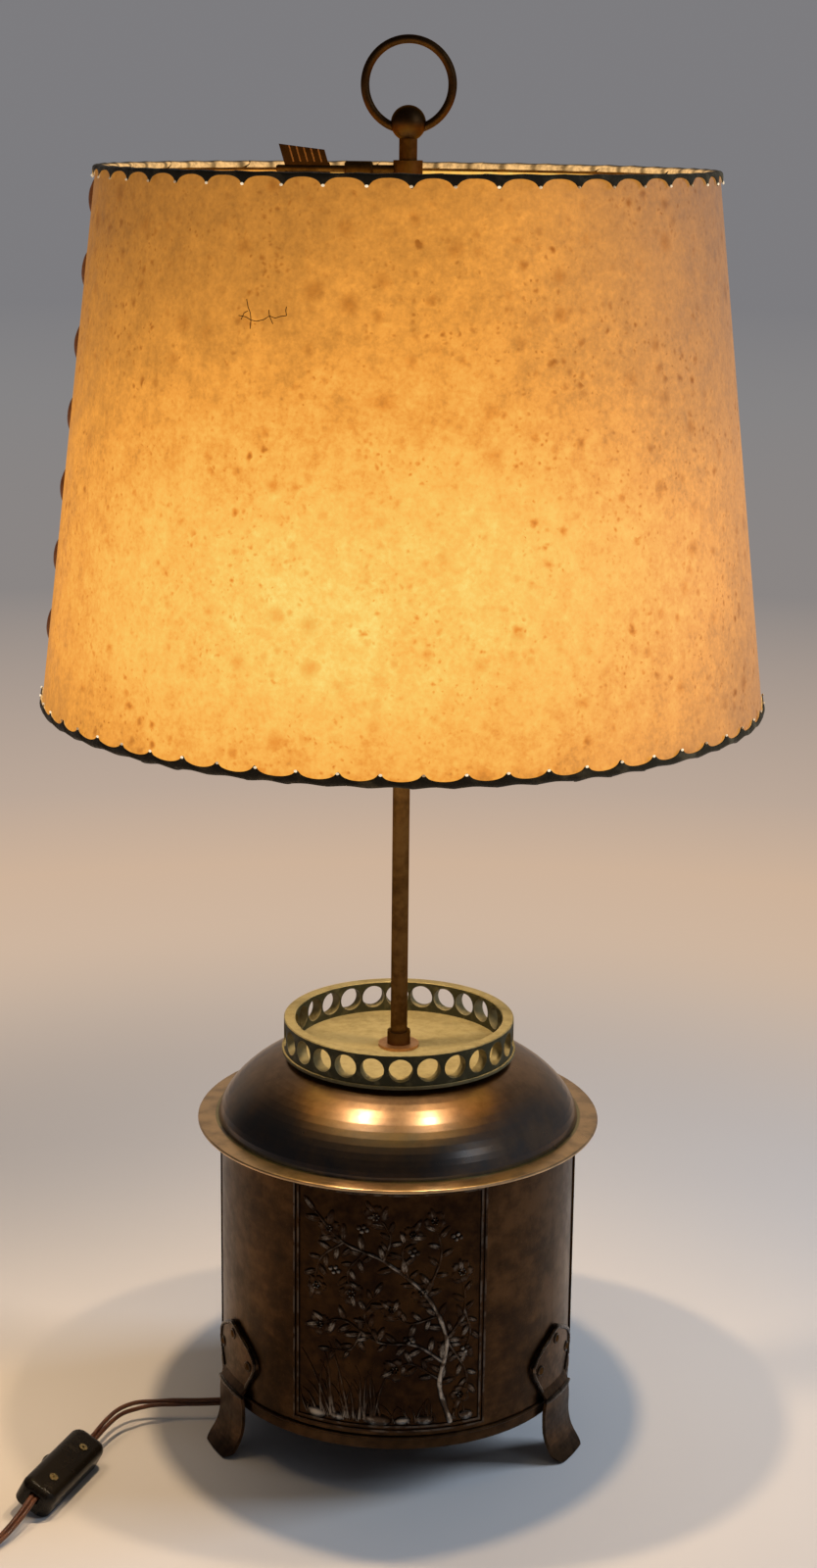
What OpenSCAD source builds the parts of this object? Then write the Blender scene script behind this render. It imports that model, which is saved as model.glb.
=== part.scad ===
// Table lamp: a round footed canister with a domed lid and a pierced tray gallery, a brass rod that
// carries two bulbs, a laced parchment shade on a sliding collar with an arrow key, a ring finial,
// and a twin cord with an in-line switch and a plug.
// Millimetres. Z is up, the table is z = 0, the rod stands on the Z axis and the front faces -Y.

/* [Canister] */
// Outer radius of the canister's wall
can_r = 109.5; // [100:0.5:118]
// Height of the wall's lower edge above the table
can_bottom = 32; // [31:0.5:40]
// Height of the wall from its lower edge to the lid's seat
can_h = 171.5; // [140:0.5:200]
// Thickness of the sheet of the wall, the floor and the lid
sheet = 1.2; // [0.8:0.1:1.6]
// How far the floor lies below the feet's lower rivets
floor_drop = 9; // [5:0.5:11]
// Depth of the floor's turned-down rim
floor_rim = 8; // [5:0.5:14]

/* [Hoop and panels] */
// Height of the hoop round the wall's lower edge
hoop_h = 7; // [5:0.5:8]
// Thickness of the hoop's band
hoop_t = 0.9; // [0.6:0.1:1.2]
// Radius of the bead along the hoop's upper edge
hoop_bead = 1.3; // [1:0.1:1.6]
// Half of the angle that a framed panel spans, in degrees
panel_half = 31.5; // [24:0.5:34]
// Thickness of a panel's plate
panel_t = 0.6; // [0.4:0.1:1]
// How far the frame's ridges stand above the plate
ridge_t = 0.8; // [0.5:0.1:1.2]
// Width of one ridge of the frame
ridge_w = 1.3; // [1:0.1:1.6]
// Width of the double frame
frame_w = 4.2; // [3.4:0.1:6]
// Gap between the hoop and a panel, and between a panel and the brim
panel_gap = 2.5; // [1.5:0.5:6]

/* [Feet] */
// Thickness of the strap that a foot is bent from
foot_t = 2; // [1.6:0.1:2.6]
// Angle of the right front foot from the front, in degrees
foot_spread = 65; // [58:0.5:66]
// Angle of the left front foot from the front: the feet aren't set quite alike
left_spread = 61.5; // [58:0.5:66]
// How far the strap stands off the hoop
strap_gap = 2; // [0.5:0.1:3]
// Half of the strap's width below the knee
strap_half = 18; // [15:0.5:22]
// Half of the toe's width
toe_half = 17; // [14:0.5:20]
// Radius of the toe's corners
toe_corner = 8; // [6:0.5:12]
// Half of the width of the neck between the leaf and the strap
neck_half = 16; // [13:0.5:20]
// Height of the leaf's tip above the wall's lower edge
leaf_h = 52; // [44:1:70]
// How far the leaf swells beyond its neck on each side
leaf_swell = 20; // [17:0.5:22]
// Radius of the toe's bend, to the middle of the strap
toe_r = 30; // [18:0.5:32]
// Angle that the toe turns outwards, in degrees
toe_turn = 50; // [45:1:66]
// How deep the toe's lower face is cut flat where it rests
toe_flat = 0.6; // [0.3:0.1:1]
// Radius of a rivet's shank
rivet_r = 1.5; // [1:0.1:2]
// Radius of a rivet's head
rivet_head = 3; // [2.4:0.1:3.6]
// Height of a rivet's head
rivet_rise = 1.2; // [0.8:0.1:1.8]

/* [Lid] */
// Clearance between the wall and the lid round it
lid_gap = 0.8; // [0.4:0.1:1.6]
// Width of the brim beyond the dome
brim_w = 12.8; // [8:0.2:18]
// How far the brim's edge drops below the lid's seat
brim_drop = 1.5; // [0.5:0.1:3]
// Radius of the brim's rolled edge
brim_roll = 1.1; // [0.9:0.1:1.5]
// Height of the crown above the lid's seat
dome_h = 42.5; // [34:0.5:50]
// Radius of the crown's flat top
crown_r = 55; // [46:1:62]
// Width of the ledge inside the lid that rests on the wall
ledge_w = 5; // [3:0.5:9]

/* [Gallery] */
// Outer radius of the gallery ring
gallery_r = 70.9; // [64:0.1:78]
// Thickness of the ring from its inside to its outside
gallery_t = 6.9; // [5:0.1:9]
// Height of the ring
gallery_h = 19.5; // [18:0.5:28]
// Radius of a hole through the ring
gallery_hole_r = 7.2; // [5:0.1:7.6]
// Least metal left between two holes on the inside of the ring
gallery_web = 1.05; // [0.8:0.05:3]
// Angle of the first hole from the front, in degrees
gallery_phase = 3.4; // [0:0.1:10]
// How far the tray's disc reaches beyond the ring
lip_w = 1.2; // [0.6:0.1:3]
// Thickness of the tray's disc
disc_t = 1.8; // [1.2:0.1:2.6]

/* [Rod and finial] */
// Outer radius of the lamp pipe that makes the rod
rod_r = 5.15; // [4.8:0.05:5.4]
// Bore radius of the lamp pipe
rod_bore = 3.4; // [3.3:0.05:3.8]
// Length of the rod above the tray
rod_rise = 550; // [500:1:600]
// Length of the rod below the canister's floor
rod_drop = 10; // [9:0.5:14]
// Radial clearance of a piece that fits on the rod or turns on another piece
slip = 0.05; // [0.02:0.01:0.1]
// Radial clearance of a plain hole in sheet, and the gap between pieces that only touch
play = 0.1; // [0.05:0.05:0.2]
// Radius of the washer in the tray
washer_r = 12.5; // [10:0.5:16]
// Thickness of the washers
washer_t = 1.8; // [1:0.1:2.4]
// Radius of the collar that clamps the tray
clamp_r = 7.1; // [6.4:0.1:9]
// Height of the collar that clamps the tray
clamp_h = 8; // [5:0.5:14]
// Width of the lock nuts across their flats
nut_flats = 16; // [14:0.5:20]
// Height of the lock nuts
nut_h = 5; // [3:0.5:7]
// Radius of the finial's ball
ball_r = 10; // [8.5:0.5:13]
// How far the rod's end lies below the middle of the ball
ball_seat = 2.8; // [1:0.1:4]
// Radius of the finial's ring, to the middle of its wire
ring_r = 24.7; // [20:0.1:30]
// Radius of the finial's wire
ring_wire = 2.45; // [1.8:0.05:3]
// How far the lowest point of the ring lies below the middle of the ball
ring_sink = 3.6; // [1:0.1:4]

/* [Bushing] */
// Thickness of the bushing's flange under the rod
bushing_flange = 2; // [1.5:0.5:3]
// Radius of the bushing's flange
bushing_r = 6.5; // [6:0.5:8]
// Length of the bushing inside the rod
bushing_len = 6; // [4:0.5:12]
// Radius of the bushing's bore
bushing_bore = 2.95; // [2.9:0.05:3]

/* [Lights] */
// Height of the cluster's middle above the tray
cluster_rise = 248; // [230:1:260]
// Radius of the cluster's hub
cluster_r = 15; // [12:0.5:18]
// Height of the cluster's hub
cluster_h = 22; // [18:1:30]
// Distance of each socket from the rod
socket_reach = 50; // [46:1:60]
// Radius of the cluster's arms
socket_arm_r = 5; // [4:0.5:6]
// Radius of the boss under a socket
boss_r = 8; // [7:0.5:9]
// Height of the boss under a socket
boss_h = 16; // [12:0.5:20]
// Radius of the holes for the sockets' leads
lead_bore = 2.2; // [1.8:0.1:2.6]
// Radius of a single lead
lead_r = 1.2; // [1:0.1:1.4]
// Radius of a socket's cap
cap_r = 15.5; // [15:0.1:18]
// Height of a socket's cap
cap_h = 15; // [12:0.5:20]
// Sheet thickness of a socket's cap and shell
socket_t = 0.7; // [0.5:0.1:0.9]
// Height of a socket's shell above its cap
shell_h = 31; // [26:0.5:36]
// Radius of a bulb's screw base
base_r = 13; // [12:0.1:13.1]
// Height of a bulb's screw base
base_h = 24; // [20:0.5:28]
// Radius of a bulb's globe
bulb_r = 30; // [26:0.5:34]
// Height of the globe's middle above the bulb's base
bulb_rise = 54; // [48:0.5:60]
// Thickness of a bulb's glass
glass_t = 0.8; // [0.5:0.1:1.2]

/* [Sliding collar] */
// Radius of the collar's sleeve
collar_r = 8.4; // [7.8:0.1:10]
// Height of the collar's sleeve above its flange
collar_h = 40; // [36:0.5:50]
// Radius of the collar's flange and of the spider's hub
flange_r = 13; // [12:0.5:16]
// Thickness of the collar's flange
flange_t = 3; // [2:0.5:5]
// Gap between the collar and the finial's ball
collar_gap = 10.4; // [9.5:0.1:20]

/* [Arrow key] */
// How far the key's axis lies below the collar's top
key_drop = 5.2; // [4:0.1:9]
// Radius of the key's screw
screw_r = 2.5; // [2:0.1:3]
// Radius of the key's knob
knob_r = 4.5; // [4:0.1:6]
// Distance of the knob's inner end from the rod's axis
knob_start = 20; // [14:0.5:26]
// Length of the knob
knob_len = 16; // [10:0.5:20]
// Radius of the key's shaft
shaft_r = 2; // [1.5:0.1:2.4]
// Distance of the shaft's outer end from the rod's axis
key_reach = 75; // [74:0.5:85]
// Length of a vane along the shaft
vane_len = 30; // [20:0.5:32]
// Reach of a vane from the key's axis
vane_h = 13.5; // [9:0.5:14]
// How far a vane leans towards the tail
vane_lean = 4; // [1:0.5:6]
// Thickness of a vane
vane_t = 1.6; // [1:0.1:2.4]
// Number of slots between a vane's barbs
barb_count = 6; // [3:1:8]
// Width of a slot between the barbs
barb_w = 0.9; // [0.5:0.1:1.4]

/* [Shade] */
// Outer radius of the parchment at its upper edge
shade_top_r = 176.2; // [160:0.1:190]
// Outer radius of the parchment at its lower edge
shade_bottom_r = 213.2; // [195:0.1:230]
// Height of the parchment
shade_h = 306.5; // [280:0.5:330]
// Thickness of the parchment
parchment_t = 1; // [0.6:0.1:1.6]
// How far the lacing's top lies below the collar's top
shade_sink = 3.4; // [1:0.1:8]
// Radius of the wires in the shade's rims
wire_r = 2; // [1.5:0.1:2.6]
// Distance of a wire's middle from the parchment's edge
wire_inset = 2.6; // [2:0.1:5]
// Thickness of the lacing
lace_t = 1.2; // [0.8:0.1:1.8]
// How far the lacing reaches over the shade's rims
lace_h = 6.5; // [5:0.5:10]
// Radius of the spider's arms
arm_r = 2; // [1.5:0.1:2.4]
// Thickness of the spider's hub
hub_t = 3; // [2:0.5:5]
// Angle of the side seam from the front, in degrees
seam_angle = -86; // [-120:1:-60]
// Distance between the stitches of the side seam
seam_pitch = 41.5; // [30:0.5:60]
// Length of a stitch of the side seam
stitch_len = 18; // [12:0.5:22]
// Radius of the lace in the side seam
stitch_r = 1.5; // [1:0.1:2]
// Gap between the rims' lacing and the stitches of the side seam
seam_gap = 1; // [0.5:0.5:6]

/* [Switch] */
// Place of the switch's middle, left or right of the rod
switch_x = -199.5; // [-210:0.5:-185]
// Place of the switch's middle, before or behind the rod
switch_y = -112; // [-120:0.5:-100]
// Turn of the switch about the vertical, in degrees
switch_turn = -18; // [-30:1:0]
// Tilt of the switch on to its right lower edge, as its stiff cord holds it, in degrees
switch_roll = 28; // [0:1:32]
// Length of the switch
switch_len = 72; // [68:0.5:84]
// Width of the switch
switch_w = 23.5; // [23:0.5:30]
// Height of the switch
switch_h = 16; // [15.5:0.5:20]
// Height of the seam between the switch's base and its cover
switch_seam = 6.5; // [6:0.1:7]
// Wall of the switch's base and cover
switch_wall = 2.2; // [1.8:0.1:2.8]
// Radius of the switch's upright corners
switch_corner = 7; // [5.5:0.5:9]
// Radius of the cover's upper edges
switch_round = 5; // [2.5:0.5:5]
// Height of the cord's middle where it enters the switch
port_z = 9; // [8.6:0.1:10]
// Radius of the thumb wheel
wheel_r = 11; // [10:0.5:11.5]
// Thickness of the thumb wheel
wheel_t = 5.6; // [4:0.2:6]
// How far the thumb wheel stands out of the switch's side
wheel_proud = 1.6; // [1.5:0.1:3]
// Radius of the thumb wheel's spindle
spindle_r = 2; // [1.5:0.1:3]
// Distance between the switch's two rivets
switch_rivet_span = 38; // [36:0.5:44]
// How far the switch's rivets lie off its middle, away from the thumb wheel
switch_rivet_off = 1.2; // [0:0.1:5]
// Radius of the heads of the switch's rivets
switch_rivet_head = 2.6; // [2.2:0.1:3.4]

/* [Cord and plug] */
// Width of the flat twin cord
cord_w = 5.6; // [5:0.1:5.8]
// Thickness of the flat twin cord
cord_t = 2.8; // [2.4:0.1:3]
// Number of turns in the coil
coil_turns = 7.25; // [5.25:1:9.25]
// Radius of the coil's innermost turn
coil_in = 20.5; // [19:0.5:24]
// Distance between the turns of one layer
coil_pitch = 6.6; // [6.4:0.1:8]
// Distance between the two layers of the coil
coil_layer = 3.5; // [3.4:0.1:5]
// How far the cord draws in where it climbs a layer
coil_dip = 3; // [2:0.5:5]
// Length of the plug's body
plug_len = 26; // [22:0.5:34]
// Width of the plug's body at its face
plug_w = 24; // [22:0.5:30]
// Height of the plug's body
plug_h = 13; // [12:0.5:18]
// Distance between the plug's two blades
blade_span = 12.7; // [12.7:0.1:13]
// Length of the blades outside the plug
blade_len = 16; // [12:0.5:18]
// Width of a blade
blade_w = 6.3; // [5.5:0.1:7]
// Thickness of a blade
blade_t = 1.5; // [1.2:0.1:1.8]
// Depth of a blade inside the plug
blade_seat = 6; // [4:0.5:10]

/* [Hidden] */
$fn = 96;

copper = "#5a3a24";
dark_copper = "#3a2718";
brass = "#8a7434";
old_brass = "#6b4a26";
steel = "#8d8d88";
parchment = "#d9a552";
leather = "#20261c";
bakelite = "#221e1c";
brown_cord = "#5f3826";

// Heights of the lid and the tray
seat_z = can_bottom + can_h;
crown_z = seat_z + dome_h;
tray_z = crown_z + disc_t;

// Radii of the lid
dome_in = can_r + lid_gap;
dome_r = dome_in + sheet;
brim_r = dome_r + brim_w;
brim_z = seat_z - brim_drop;
dome_power = 1.25;

// The foot's strap lies on the wall, steps out over the hoop and curls into the toe
leaf_r = can_r + play + foot_t / 2;
hoop_r = can_r + play + max(hoop_t, hoop_bead);
strap_r = hoop_r + strap_gap + foot_t / 2;
leaf_top = can_bottom + leaf_h;
neck_z = can_bottom + hoop_h + hoop_bead + 2;
toe_z = toe_r * sin(toe_turn) + foot_t / 2 * sin(toe_turn) - toe_flat;
foot_angles = [-left_spread, foot_spread, 180];
panel_angles = [0, 120, -120];
// Rivets of a leaf: how far to the side, and how far below the tip
leaf_rivets = [[0, 8], [-19, 22], [19, 22]];
floor_z = leaf_top - leaf_rivets[1].y - floor_drop;

// Panels between the hoop and the brim
panel_low = can_bottom + hoop_h + hoop_bead + panel_gap;
panel_high = brim_z - panel_gap;

// Rod, finial, collar and shade
rod_low = floor_z - rod_drop;
rod_top = tray_z + rod_rise;
rod_hole = rod_r + play;
nut_r = nut_flats / 2 / cos(30);
ball_z = rod_top + ball_seat;
ring_z = ball_z - ring_sink + ring_r;
collar_top = ball_z - ball_r - collar_gap;
collar_low = collar_top - collar_h;
key_z = collar_top - key_drop;
hub_z = collar_low + slip;
shade_top = collar_top - shade_sink - lace_t - play;
shade_low = shade_top - shade_h;
shade_slope = (shade_bottom_r - shade_top_r) / shade_h;
top_wire_z = shade_top - wire_inset;
bottom_wire_z = shade_low + wire_inset;
arm_angles = [0, 120, 240];

// Lights on the rod
cluster_z = tray_z + cluster_rise;
boss_top = cluster_z + boss_h / 2;
core_low = 5;
core_hole = 1;
core_top = 17;
contact_h = 3;
base_low = core_top + contact_h;
neck_low = base_low + base_h;
shell_low = cap_h - 6;

// Thumb wheel, across the switch and above the table
wheel_x = wheel_r - wheel_proud - switch_w / 2;
wheel_z = switch_seam + 0.5;
wheel_gap = 0.4;
switch_lift = switch_w / 2 * sin(switch_roll) + 0.05;

// Cord
bushing_low = rod_low - bushing_flange;
lead_top = cluster_z - lead_r - play;
cord_lay = cord_t / 2 + 0.05;
cord_chamfer = cord_t * 0.3;
port_in = 5;

// The coil lies beside the switch, its turns worked out from these values
coil_x = -292;
coil_y = -188;
coil_steps = 24;
coil_half = coil_turns * 180;
coil_start_angle = 270;

// Free cord from the rod to the switch
lead_route = [[0, 0, bushing_low], [0, 0, 38], [-3, 0, 26], [-12, -1, 17], [-24, -3.5, 13.5],
    [-39, -7, 12], [-56, -10.5, 11.5], [-74, -14, 11.5], [-93, -17.5, 12], [-111, -20.5, 12],
    [-123, -22, 12], [-135, -23, 12], [-147, -24.5, 12], [-158, -28, 12.5], [-165, -33.5, 13.2],
    [-171, -41, 13.8], [-175.5, -51, 14.1], [-179, -62, 14.1], switch_point(0, switch_len / 2 + 6, port_z),
    switch_point(0, switch_len / 2 - port_in, port_z)];
// Free cord from the switch to the coil
tail_route = [switch_point(0, port_in - switch_len / 2, port_z),
    switch_point(0, -switch_len / 2 - 2, port_z), [-210.5, -158.5, 11.2], [-215, -168.5, 8],
    [-220.5, -178.5, 5], [-227, -188.5, 2.7], [-235, -198.5, 1.6], [-244, -209, cord_lay],
    [-254.5, -219, cord_lay], [-267, -227.5, cord_lay], coil_end(0) + [10, 0, 0], coil_end(0)];
plug_at = coil_end(1) + [0, 26, 0];
plug_port_z = plug_h / 2;
// Free cord from the coil to the plug
end_route = [coil_end(1), coil_end(1) + [0, 8, 0], [plug_at.x, plug_at.y - 8, plug_port_z],
    [plug_at.x, plug_at.y, plug_port_z]];

// A vector of length one
function unit(v) = v / norm(v);
// A plan vector turned by an angle
function turned(p, a) = [p.x * cos(a) - p.y * sin(a), p.x * sin(a) + p.y * cos(a)];
// A point given in the switch's own axes, its length along the second one
function switch_point(across, along, z) =
    let (q = turned([across * cos(switch_roll) + z * sin(switch_roll), along], switch_turn))
    [switch_x + q.x, switch_y + q.y, switch_lift + z * cos(switch_roll) - across * sin(switch_roll)];
// A value that eases from 0 to 1 and stays there
function eased(t) = let (u = min(max(t, 0), 1)) u * u * (3 - 2 * u);
// Outer radius of the parchment at a height
function shade_r(z) = shade_top_r + (shade_top - z) * shade_slope;
// Middle of a rim wire, inside the parchment
function wire_ring(z) = shade_r(z) - parchment_t - wire_r - play;
// Direction of a route at one of its points
function heading(p, i) = unit(p[min(i + 1, len(p) - 1)] - p[max(i - 1, 0)]);
// Level direction across a route, and the cord's flat side
function across(t) = norm([t.x, t.y]) < 0.05 ? [0, 1, 0] : unit([t.y, -t.x, 0]);
// Section of the flat cord with eight sides
function eight_sides(w, t, c) = [[w / 2, c - t / 2], [w / 2, t / 2 - c], [w / 2 - c, t / 2],
    [c - w / 2, t / 2], [-w / 2, t / 2 - c], [-w / 2, c - t / 2], [c - w / 2, -t / 2],
    [w / 2 - c, -t / 2]];
// Section of the flat cord with six sides
function six_sides(w, t, c) = [[w / 2, 0], [w / 2 - c, t / 2], [c - w / 2, t / 2], [-w / 2, 0],
    [c - w / 2, -t / 2], [w / 2 - c, -t / 2]];
// Quarter of a dome from its foot to its crown
function dome_curve(r0, r1, z0, z1, n) = [for (i = [0:n]) let (a = 90 * i / n)
    [r1 + (r0 - r1) * pow(cos(a), dome_power), z0 + (z1 - z0) * pow(sin(a), dome_power)]];
// Radius and height of the coil's cord after turning by an angle
function coil_radius(a) = coil_in + coil_pitch * abs(a - coil_half) / 360
    - coil_dip * pow(cos(min(abs(a - coil_half), 90)), 2);
function coil_height(a) = cord_lay + coil_layer * eased((a - coil_half + 90) / 180);
function coil_point(a) = [coil_x + coil_radius(a) * cos(coil_start_angle - a),
    coil_y + coil_radius(a) * sin(coil_start_angle - a), coil_height(a)];
// The coil's two ends run straight for one width of the cord
function coil_tangent(a) = [sin(coil_start_angle - a), -cos(coil_start_angle - a), 0];
function coil_end(k) = k == 0 ? coil_point(0) - cord_w * coil_tangent(0)
    : coil_point(2 * coil_half) + cord_w * coil_tangent(2 * coil_half);
function coil_route() = concat([coil_end(0)],
    [for (i = [0:coil_steps * coil_turns]) coil_point(360 * i / coil_steps)], [coil_end(1)]);
// Length of a route
function route_length(p) = let (d = [for (i = [1:len(p) - 1]) norm(p[i] - p[i - 1])]) d * [for (v = d) 1];
// Gap between two flat stretches of the coil
function flat_gap(p, q) = max(abs(p.z - q.z) - cord_t, norm([p.x - q.x, p.y - q.y]) - cord_w);
// Least gap between turns of the coil that are at least a third of a turn apart
function coil_gap(p) = min([for (i = [0:len(p) - 1]) for (j = [i + coil_steps / 3:len(p) - 1])
    flat_gap(p[i], p[j])]);
// Half width of a foot at a height
function leaf_half(z) = let (u = (z - neck_z) / (leaf_top - neck_z))
    neck_half * (1 - u) + leaf_swell * sin(180 * pow(u, 1.35));
// How far up the bent strap a height lies from the toe's end
function toe_along(z) = toe_r * (toe_turn - asin(min(1, (toe_z - z) / toe_r))) * PI / 180;
function toe_edge(z) = let (q = toe_corner - min(toe_corner, max(0, toe_along(z))))
    toe_half - toe_corner + sqrt(toe_corner * toe_corner - q * q);
function foot_edge() = concat([for (i = [0:16]) let (z = toe_z * 0.5 * i / 16) [toe_edge(z), z]],
    [[strap_half, can_bottom - 4], [strap_half, can_bottom + 1], [neck_half, neck_z - 1]],
    [for (i = [0:14]) let (z = neck_z + (leaf_top - neck_z) * i / 14) [leaf_half(z), z]]);
// Middle line of a foot's strap, as radius and height
function foot_path() = concat([[leaf_r, leaf_top + 4], [leaf_r, neck_z + 5], [strap_r, neck_z - 1]],
    [for (a = [0:toe_turn / 8:toe_turn])
        [strap_r + toe_r * (1 - cos(a)), toe_z - toe_r * sin(a)]]);
// A plan path thickened to both sides
function thickened(p, t) = let (n = [for (i = [0:len(p) - 1]) let (h = heading(p, i)) [h.y, -h.x]])
    concat([for (i = [0:len(p) - 1]) p[i] + n[i] * t / 2],
        [for (i = [len(p) - 1:-1:0]) p[i] - n[i] * t / 2]);

// A tube with the given section along a route
module sweep(path, section) {
    n = len(section);
    m = len(path);
    points = [for (i = [0:m - 1]) let (t = heading(path, i), s = across(t), u = cross(s, t))
        for (q = section) path[i] + q.x * s + q.y * u];
    sides = [for (i = [0:m - 2]) for (j = [0:n - 1]) let (k = (j + 1) % n)
        for (f = [[i * n + j, (i + 1) * n + j, (i + 1) * n + k], [i * n + j, (i + 1) * n + k, i * n + k]])
            f];
    first = [for (j = [1:n - 2]) [0, j, j + 1]];
    last = [for (j = [1:n - 2]) [(m - 1) * n, (m - 1) * n + j + 1, (m - 1) * n + j]];
    polyhedron(points, concat(sides, first, last));
}

// A round bar between two points
module bar(p, q, r) {
    d = q - p;
    translate(p) rotate([0, acos(d.z / norm(d)), atan2(d.y, d.x)]) cylinder(h = norm(d), r = r);
}

// A flat ring
module washer(outer, inner, z, t) {
    translate([0, 0, z]) difference() {
        cylinder(h = t, r = outer);
        translate([0, 0, -1]) cylinder(h = t + 2, r = inner);
    }
}

// A wire ring about the rod's axis
module hoop(r, z, wire) {
    rotate_extrude() translate([r, z]) circle(r = wire, $fn = 32);
}

// A block of revolution that spans an angle about the front
module sector(half, r0, r1, z0, z1) {
    rotate([0, 0, -90 - half]) rotate_extrude(angle = 2 * half)
        translate([r0, z0]) square([r1 - r0, z1 - z0]);
}

module canister_wall() {
    color(dark_copper) difference() {
        washer(can_r, can_r - sheet, can_bottom, can_h);
        for (a = foot_angles) rotate([0, 0, a]) rivet_holes();
    }
}

module canister_floor() {
    outer = can_r - sheet - play;
    color(dark_copper) union() {
        washer(outer, rod_hole, floor_z, sheet);
        washer(outer, outer - sheet, floor_z + sheet - floor_rim, floor_rim);
    }
}

module base_hoop() {
    color(dark_copper) rotate_extrude() {
        translate([can_r + play, can_bottom]) square([hoop_t, hoop_h]);
        intersection() {
            translate([can_r + play, can_bottom + hoop_h]) circle(r = hoop_bead, $fn = 32);
            translate([can_r + play, can_bottom]) square([2 * hoop_bead, hoop_h + 2 * hoop_bead]);
        }
    }
}

// A curved plate with a double frame of ridges
module relief_panel(a) {
    inner = can_r + play;
    outer = inner + panel_t + ridge_t;
    edge = 0.4;
    degrees = 180 / PI / outer;
    rotate([0, 0, a]) color(dark_copper) union() {
        sector(panel_half, inner, inner + panel_t, panel_low, panel_high);
        for (k = [0, 1]) {
            inset = edge + k * (frame_w - ridge_w);
            hole = inset + ridge_w;
            difference() {
                sector(panel_half - inset * degrees, inner + panel_t / 2, outer, panel_low + inset,
                    panel_high - inset);
                sector(panel_half - hole * degrees, inner, outer + 1, panel_low + hole,
                    panel_high - hole);
            }
        }
    }
}

// Places of a foot's rivets, with the wall's outside at the origin
module at_rivets() {
    for (p = leaf_rivets) rotate([0, 0, p.x / can_r * 180 / PI])
        translate([0, -can_r, leaf_top - p.y]) rotate([90, 0, 0]) children();
}

module rivet_holes() {
    reach = sheet + foot_t + 4;
    at_rivets() translate([0, 0, -reach / 2]) cylinder(h = reach, r = rivet_r + play, $fn = 32);
}

module foot(a) {
    half_angle = 18;
    edge = foot_edge();
    mirrored = [for (i = [len(edge) - 1:-1:0]) [-edge[i].x, edge[i].y]];
    rotate([0, 0, a]) color(dark_copper) difference() {
        intersection() {
            rotate([0, 0, -90 - half_angle]) rotate_extrude(angle = 2 * half_angle)
                polygon(thickened(foot_path(), foot_t));
            rotate([90, 0, 0]) linear_extrude(height = 2 * can_r) polygon(concat(edge, mirrored));
        }
        rivet_holes();
    }
}

module foot_rivets() {
    tail_t = 0.9;
    head_z = play + foot_t + play;
    tail_z = -sheet - play - tail_t;
    color(old_brass) for (a = foot_angles) rotate([0, 0, a]) at_rivets() {
        translate([0, 0, tail_z]) cylinder(h = tail_t, r = rivet_head - 0.4, $fn = 32);
        translate([0, 0, tail_z]) cylinder(h = head_z - tail_z + rivet_rise / 2, r = rivet_r, $fn = 32);
        translate([0, 0, head_z]) rotate_extrude($fn = 32) intersection() {
            square([rivet_head, rivet_rise]);
            translate([0, rivet_rise - dome_ball(rivet_head, rivet_rise)])
                circle(r = dome_ball(rivet_head, rivet_rise));
        }
    }
}

// Radius of the ball whose cap has the given radius and height
function dome_ball(r, h) = (r * r + h * h) / (2 * h);

module lid() {
    steps = 18;
    outer = dome_curve(dome_r, crown_r, seat_z + sheet, crown_z, steps);
    inner = dome_curve(dome_in, crown_r, seat_z + sheet, crown_z - sheet, steps);
    ledge_r = can_r - ledge_w;
    section = concat([[brim_r - brim_roll, brim_z], [brim_r - brim_roll, brim_z + 2 * brim_roll]],
        outer, [[rod_hole, crown_z], [rod_hole, crown_z - sheet]],
        [for (i = [steps:-1:0]) inner[i]], [[ledge_r, seat_z + sheet], [ledge_r, seat_z],
        [dome_r, seat_z]]);
    color(copper) rotate_extrude() {
        polygon(section);
        translate([brim_r - brim_roll, brim_z + brim_roll]) circle(r = brim_roll, $fn = 32);
    }
}

module gallery_ring() {
    edge = 0.6;
    inner = gallery_r - gallery_t;
    holes = floor(2 * PI * inner / (2 * gallery_hole_r + gallery_web));
    color(brass) difference() {
        rotate_extrude() translate([0, tray_z]) polygon([[inner, 0], [gallery_r, 0],
            [gallery_r, gallery_h - edge], [gallery_r - edge, gallery_h], [inner + edge, gallery_h],
            [inner, gallery_h - edge]]);
        for (i = [0:holes - 1]) rotate([0, 0, gallery_phase + 360 * i / holes])
            translate([0, 1 - inner, tray_z + gallery_h / 2]) rotate([90, 0, 0])
                cylinder(h = gallery_t + 2, r = gallery_hole_r, $fn = 48);
    }
}

module gallery_floor() {
    color(brass) washer(gallery_r + lip_w, rod_hole, crown_z, disc_t);
}

module tray_washer() {
    color(copper) washer(washer_r, rod_hole, tray_z, washer_t);
}

module tray_clamp() {
    color(old_brass) washer(clamp_r, rod_r + slip, tray_z + washer_t, clamp_h);
}

module rod() {
    color(old_brass) difference() {
        washer(rod_r, rod_bore, rod_low, rod_top - rod_low);
        bar([-2 * rod_r, 0, cluster_z], [2 * rod_r, 0, cluster_z], lead_bore);
    }
}

// A six-sided nut on the rod
module nut(z) {
    translate([0, 0, z]) difference() {
        cylinder(h = nut_h, r = nut_r, $fn = 6);
        translate([0, 0, -1]) cylinder(h = nut_h + 2, r = rod_r + slip);
    }
}

module lock_nuts() {
    color(steel) {
        nut(floor_z - washer_t - nut_h);
        nut(floor_z + sheet);
        nut(crown_z - sheet - washer_t - nut_h);
    }
}

module lock_washers() {
    color(steel) {
        washer(washer_r, rod_hole, floor_z - washer_t, washer_t);
        washer(washer_r, rod_hole, crown_z - sheet - washer_t, washer_t);
    }
}

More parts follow.
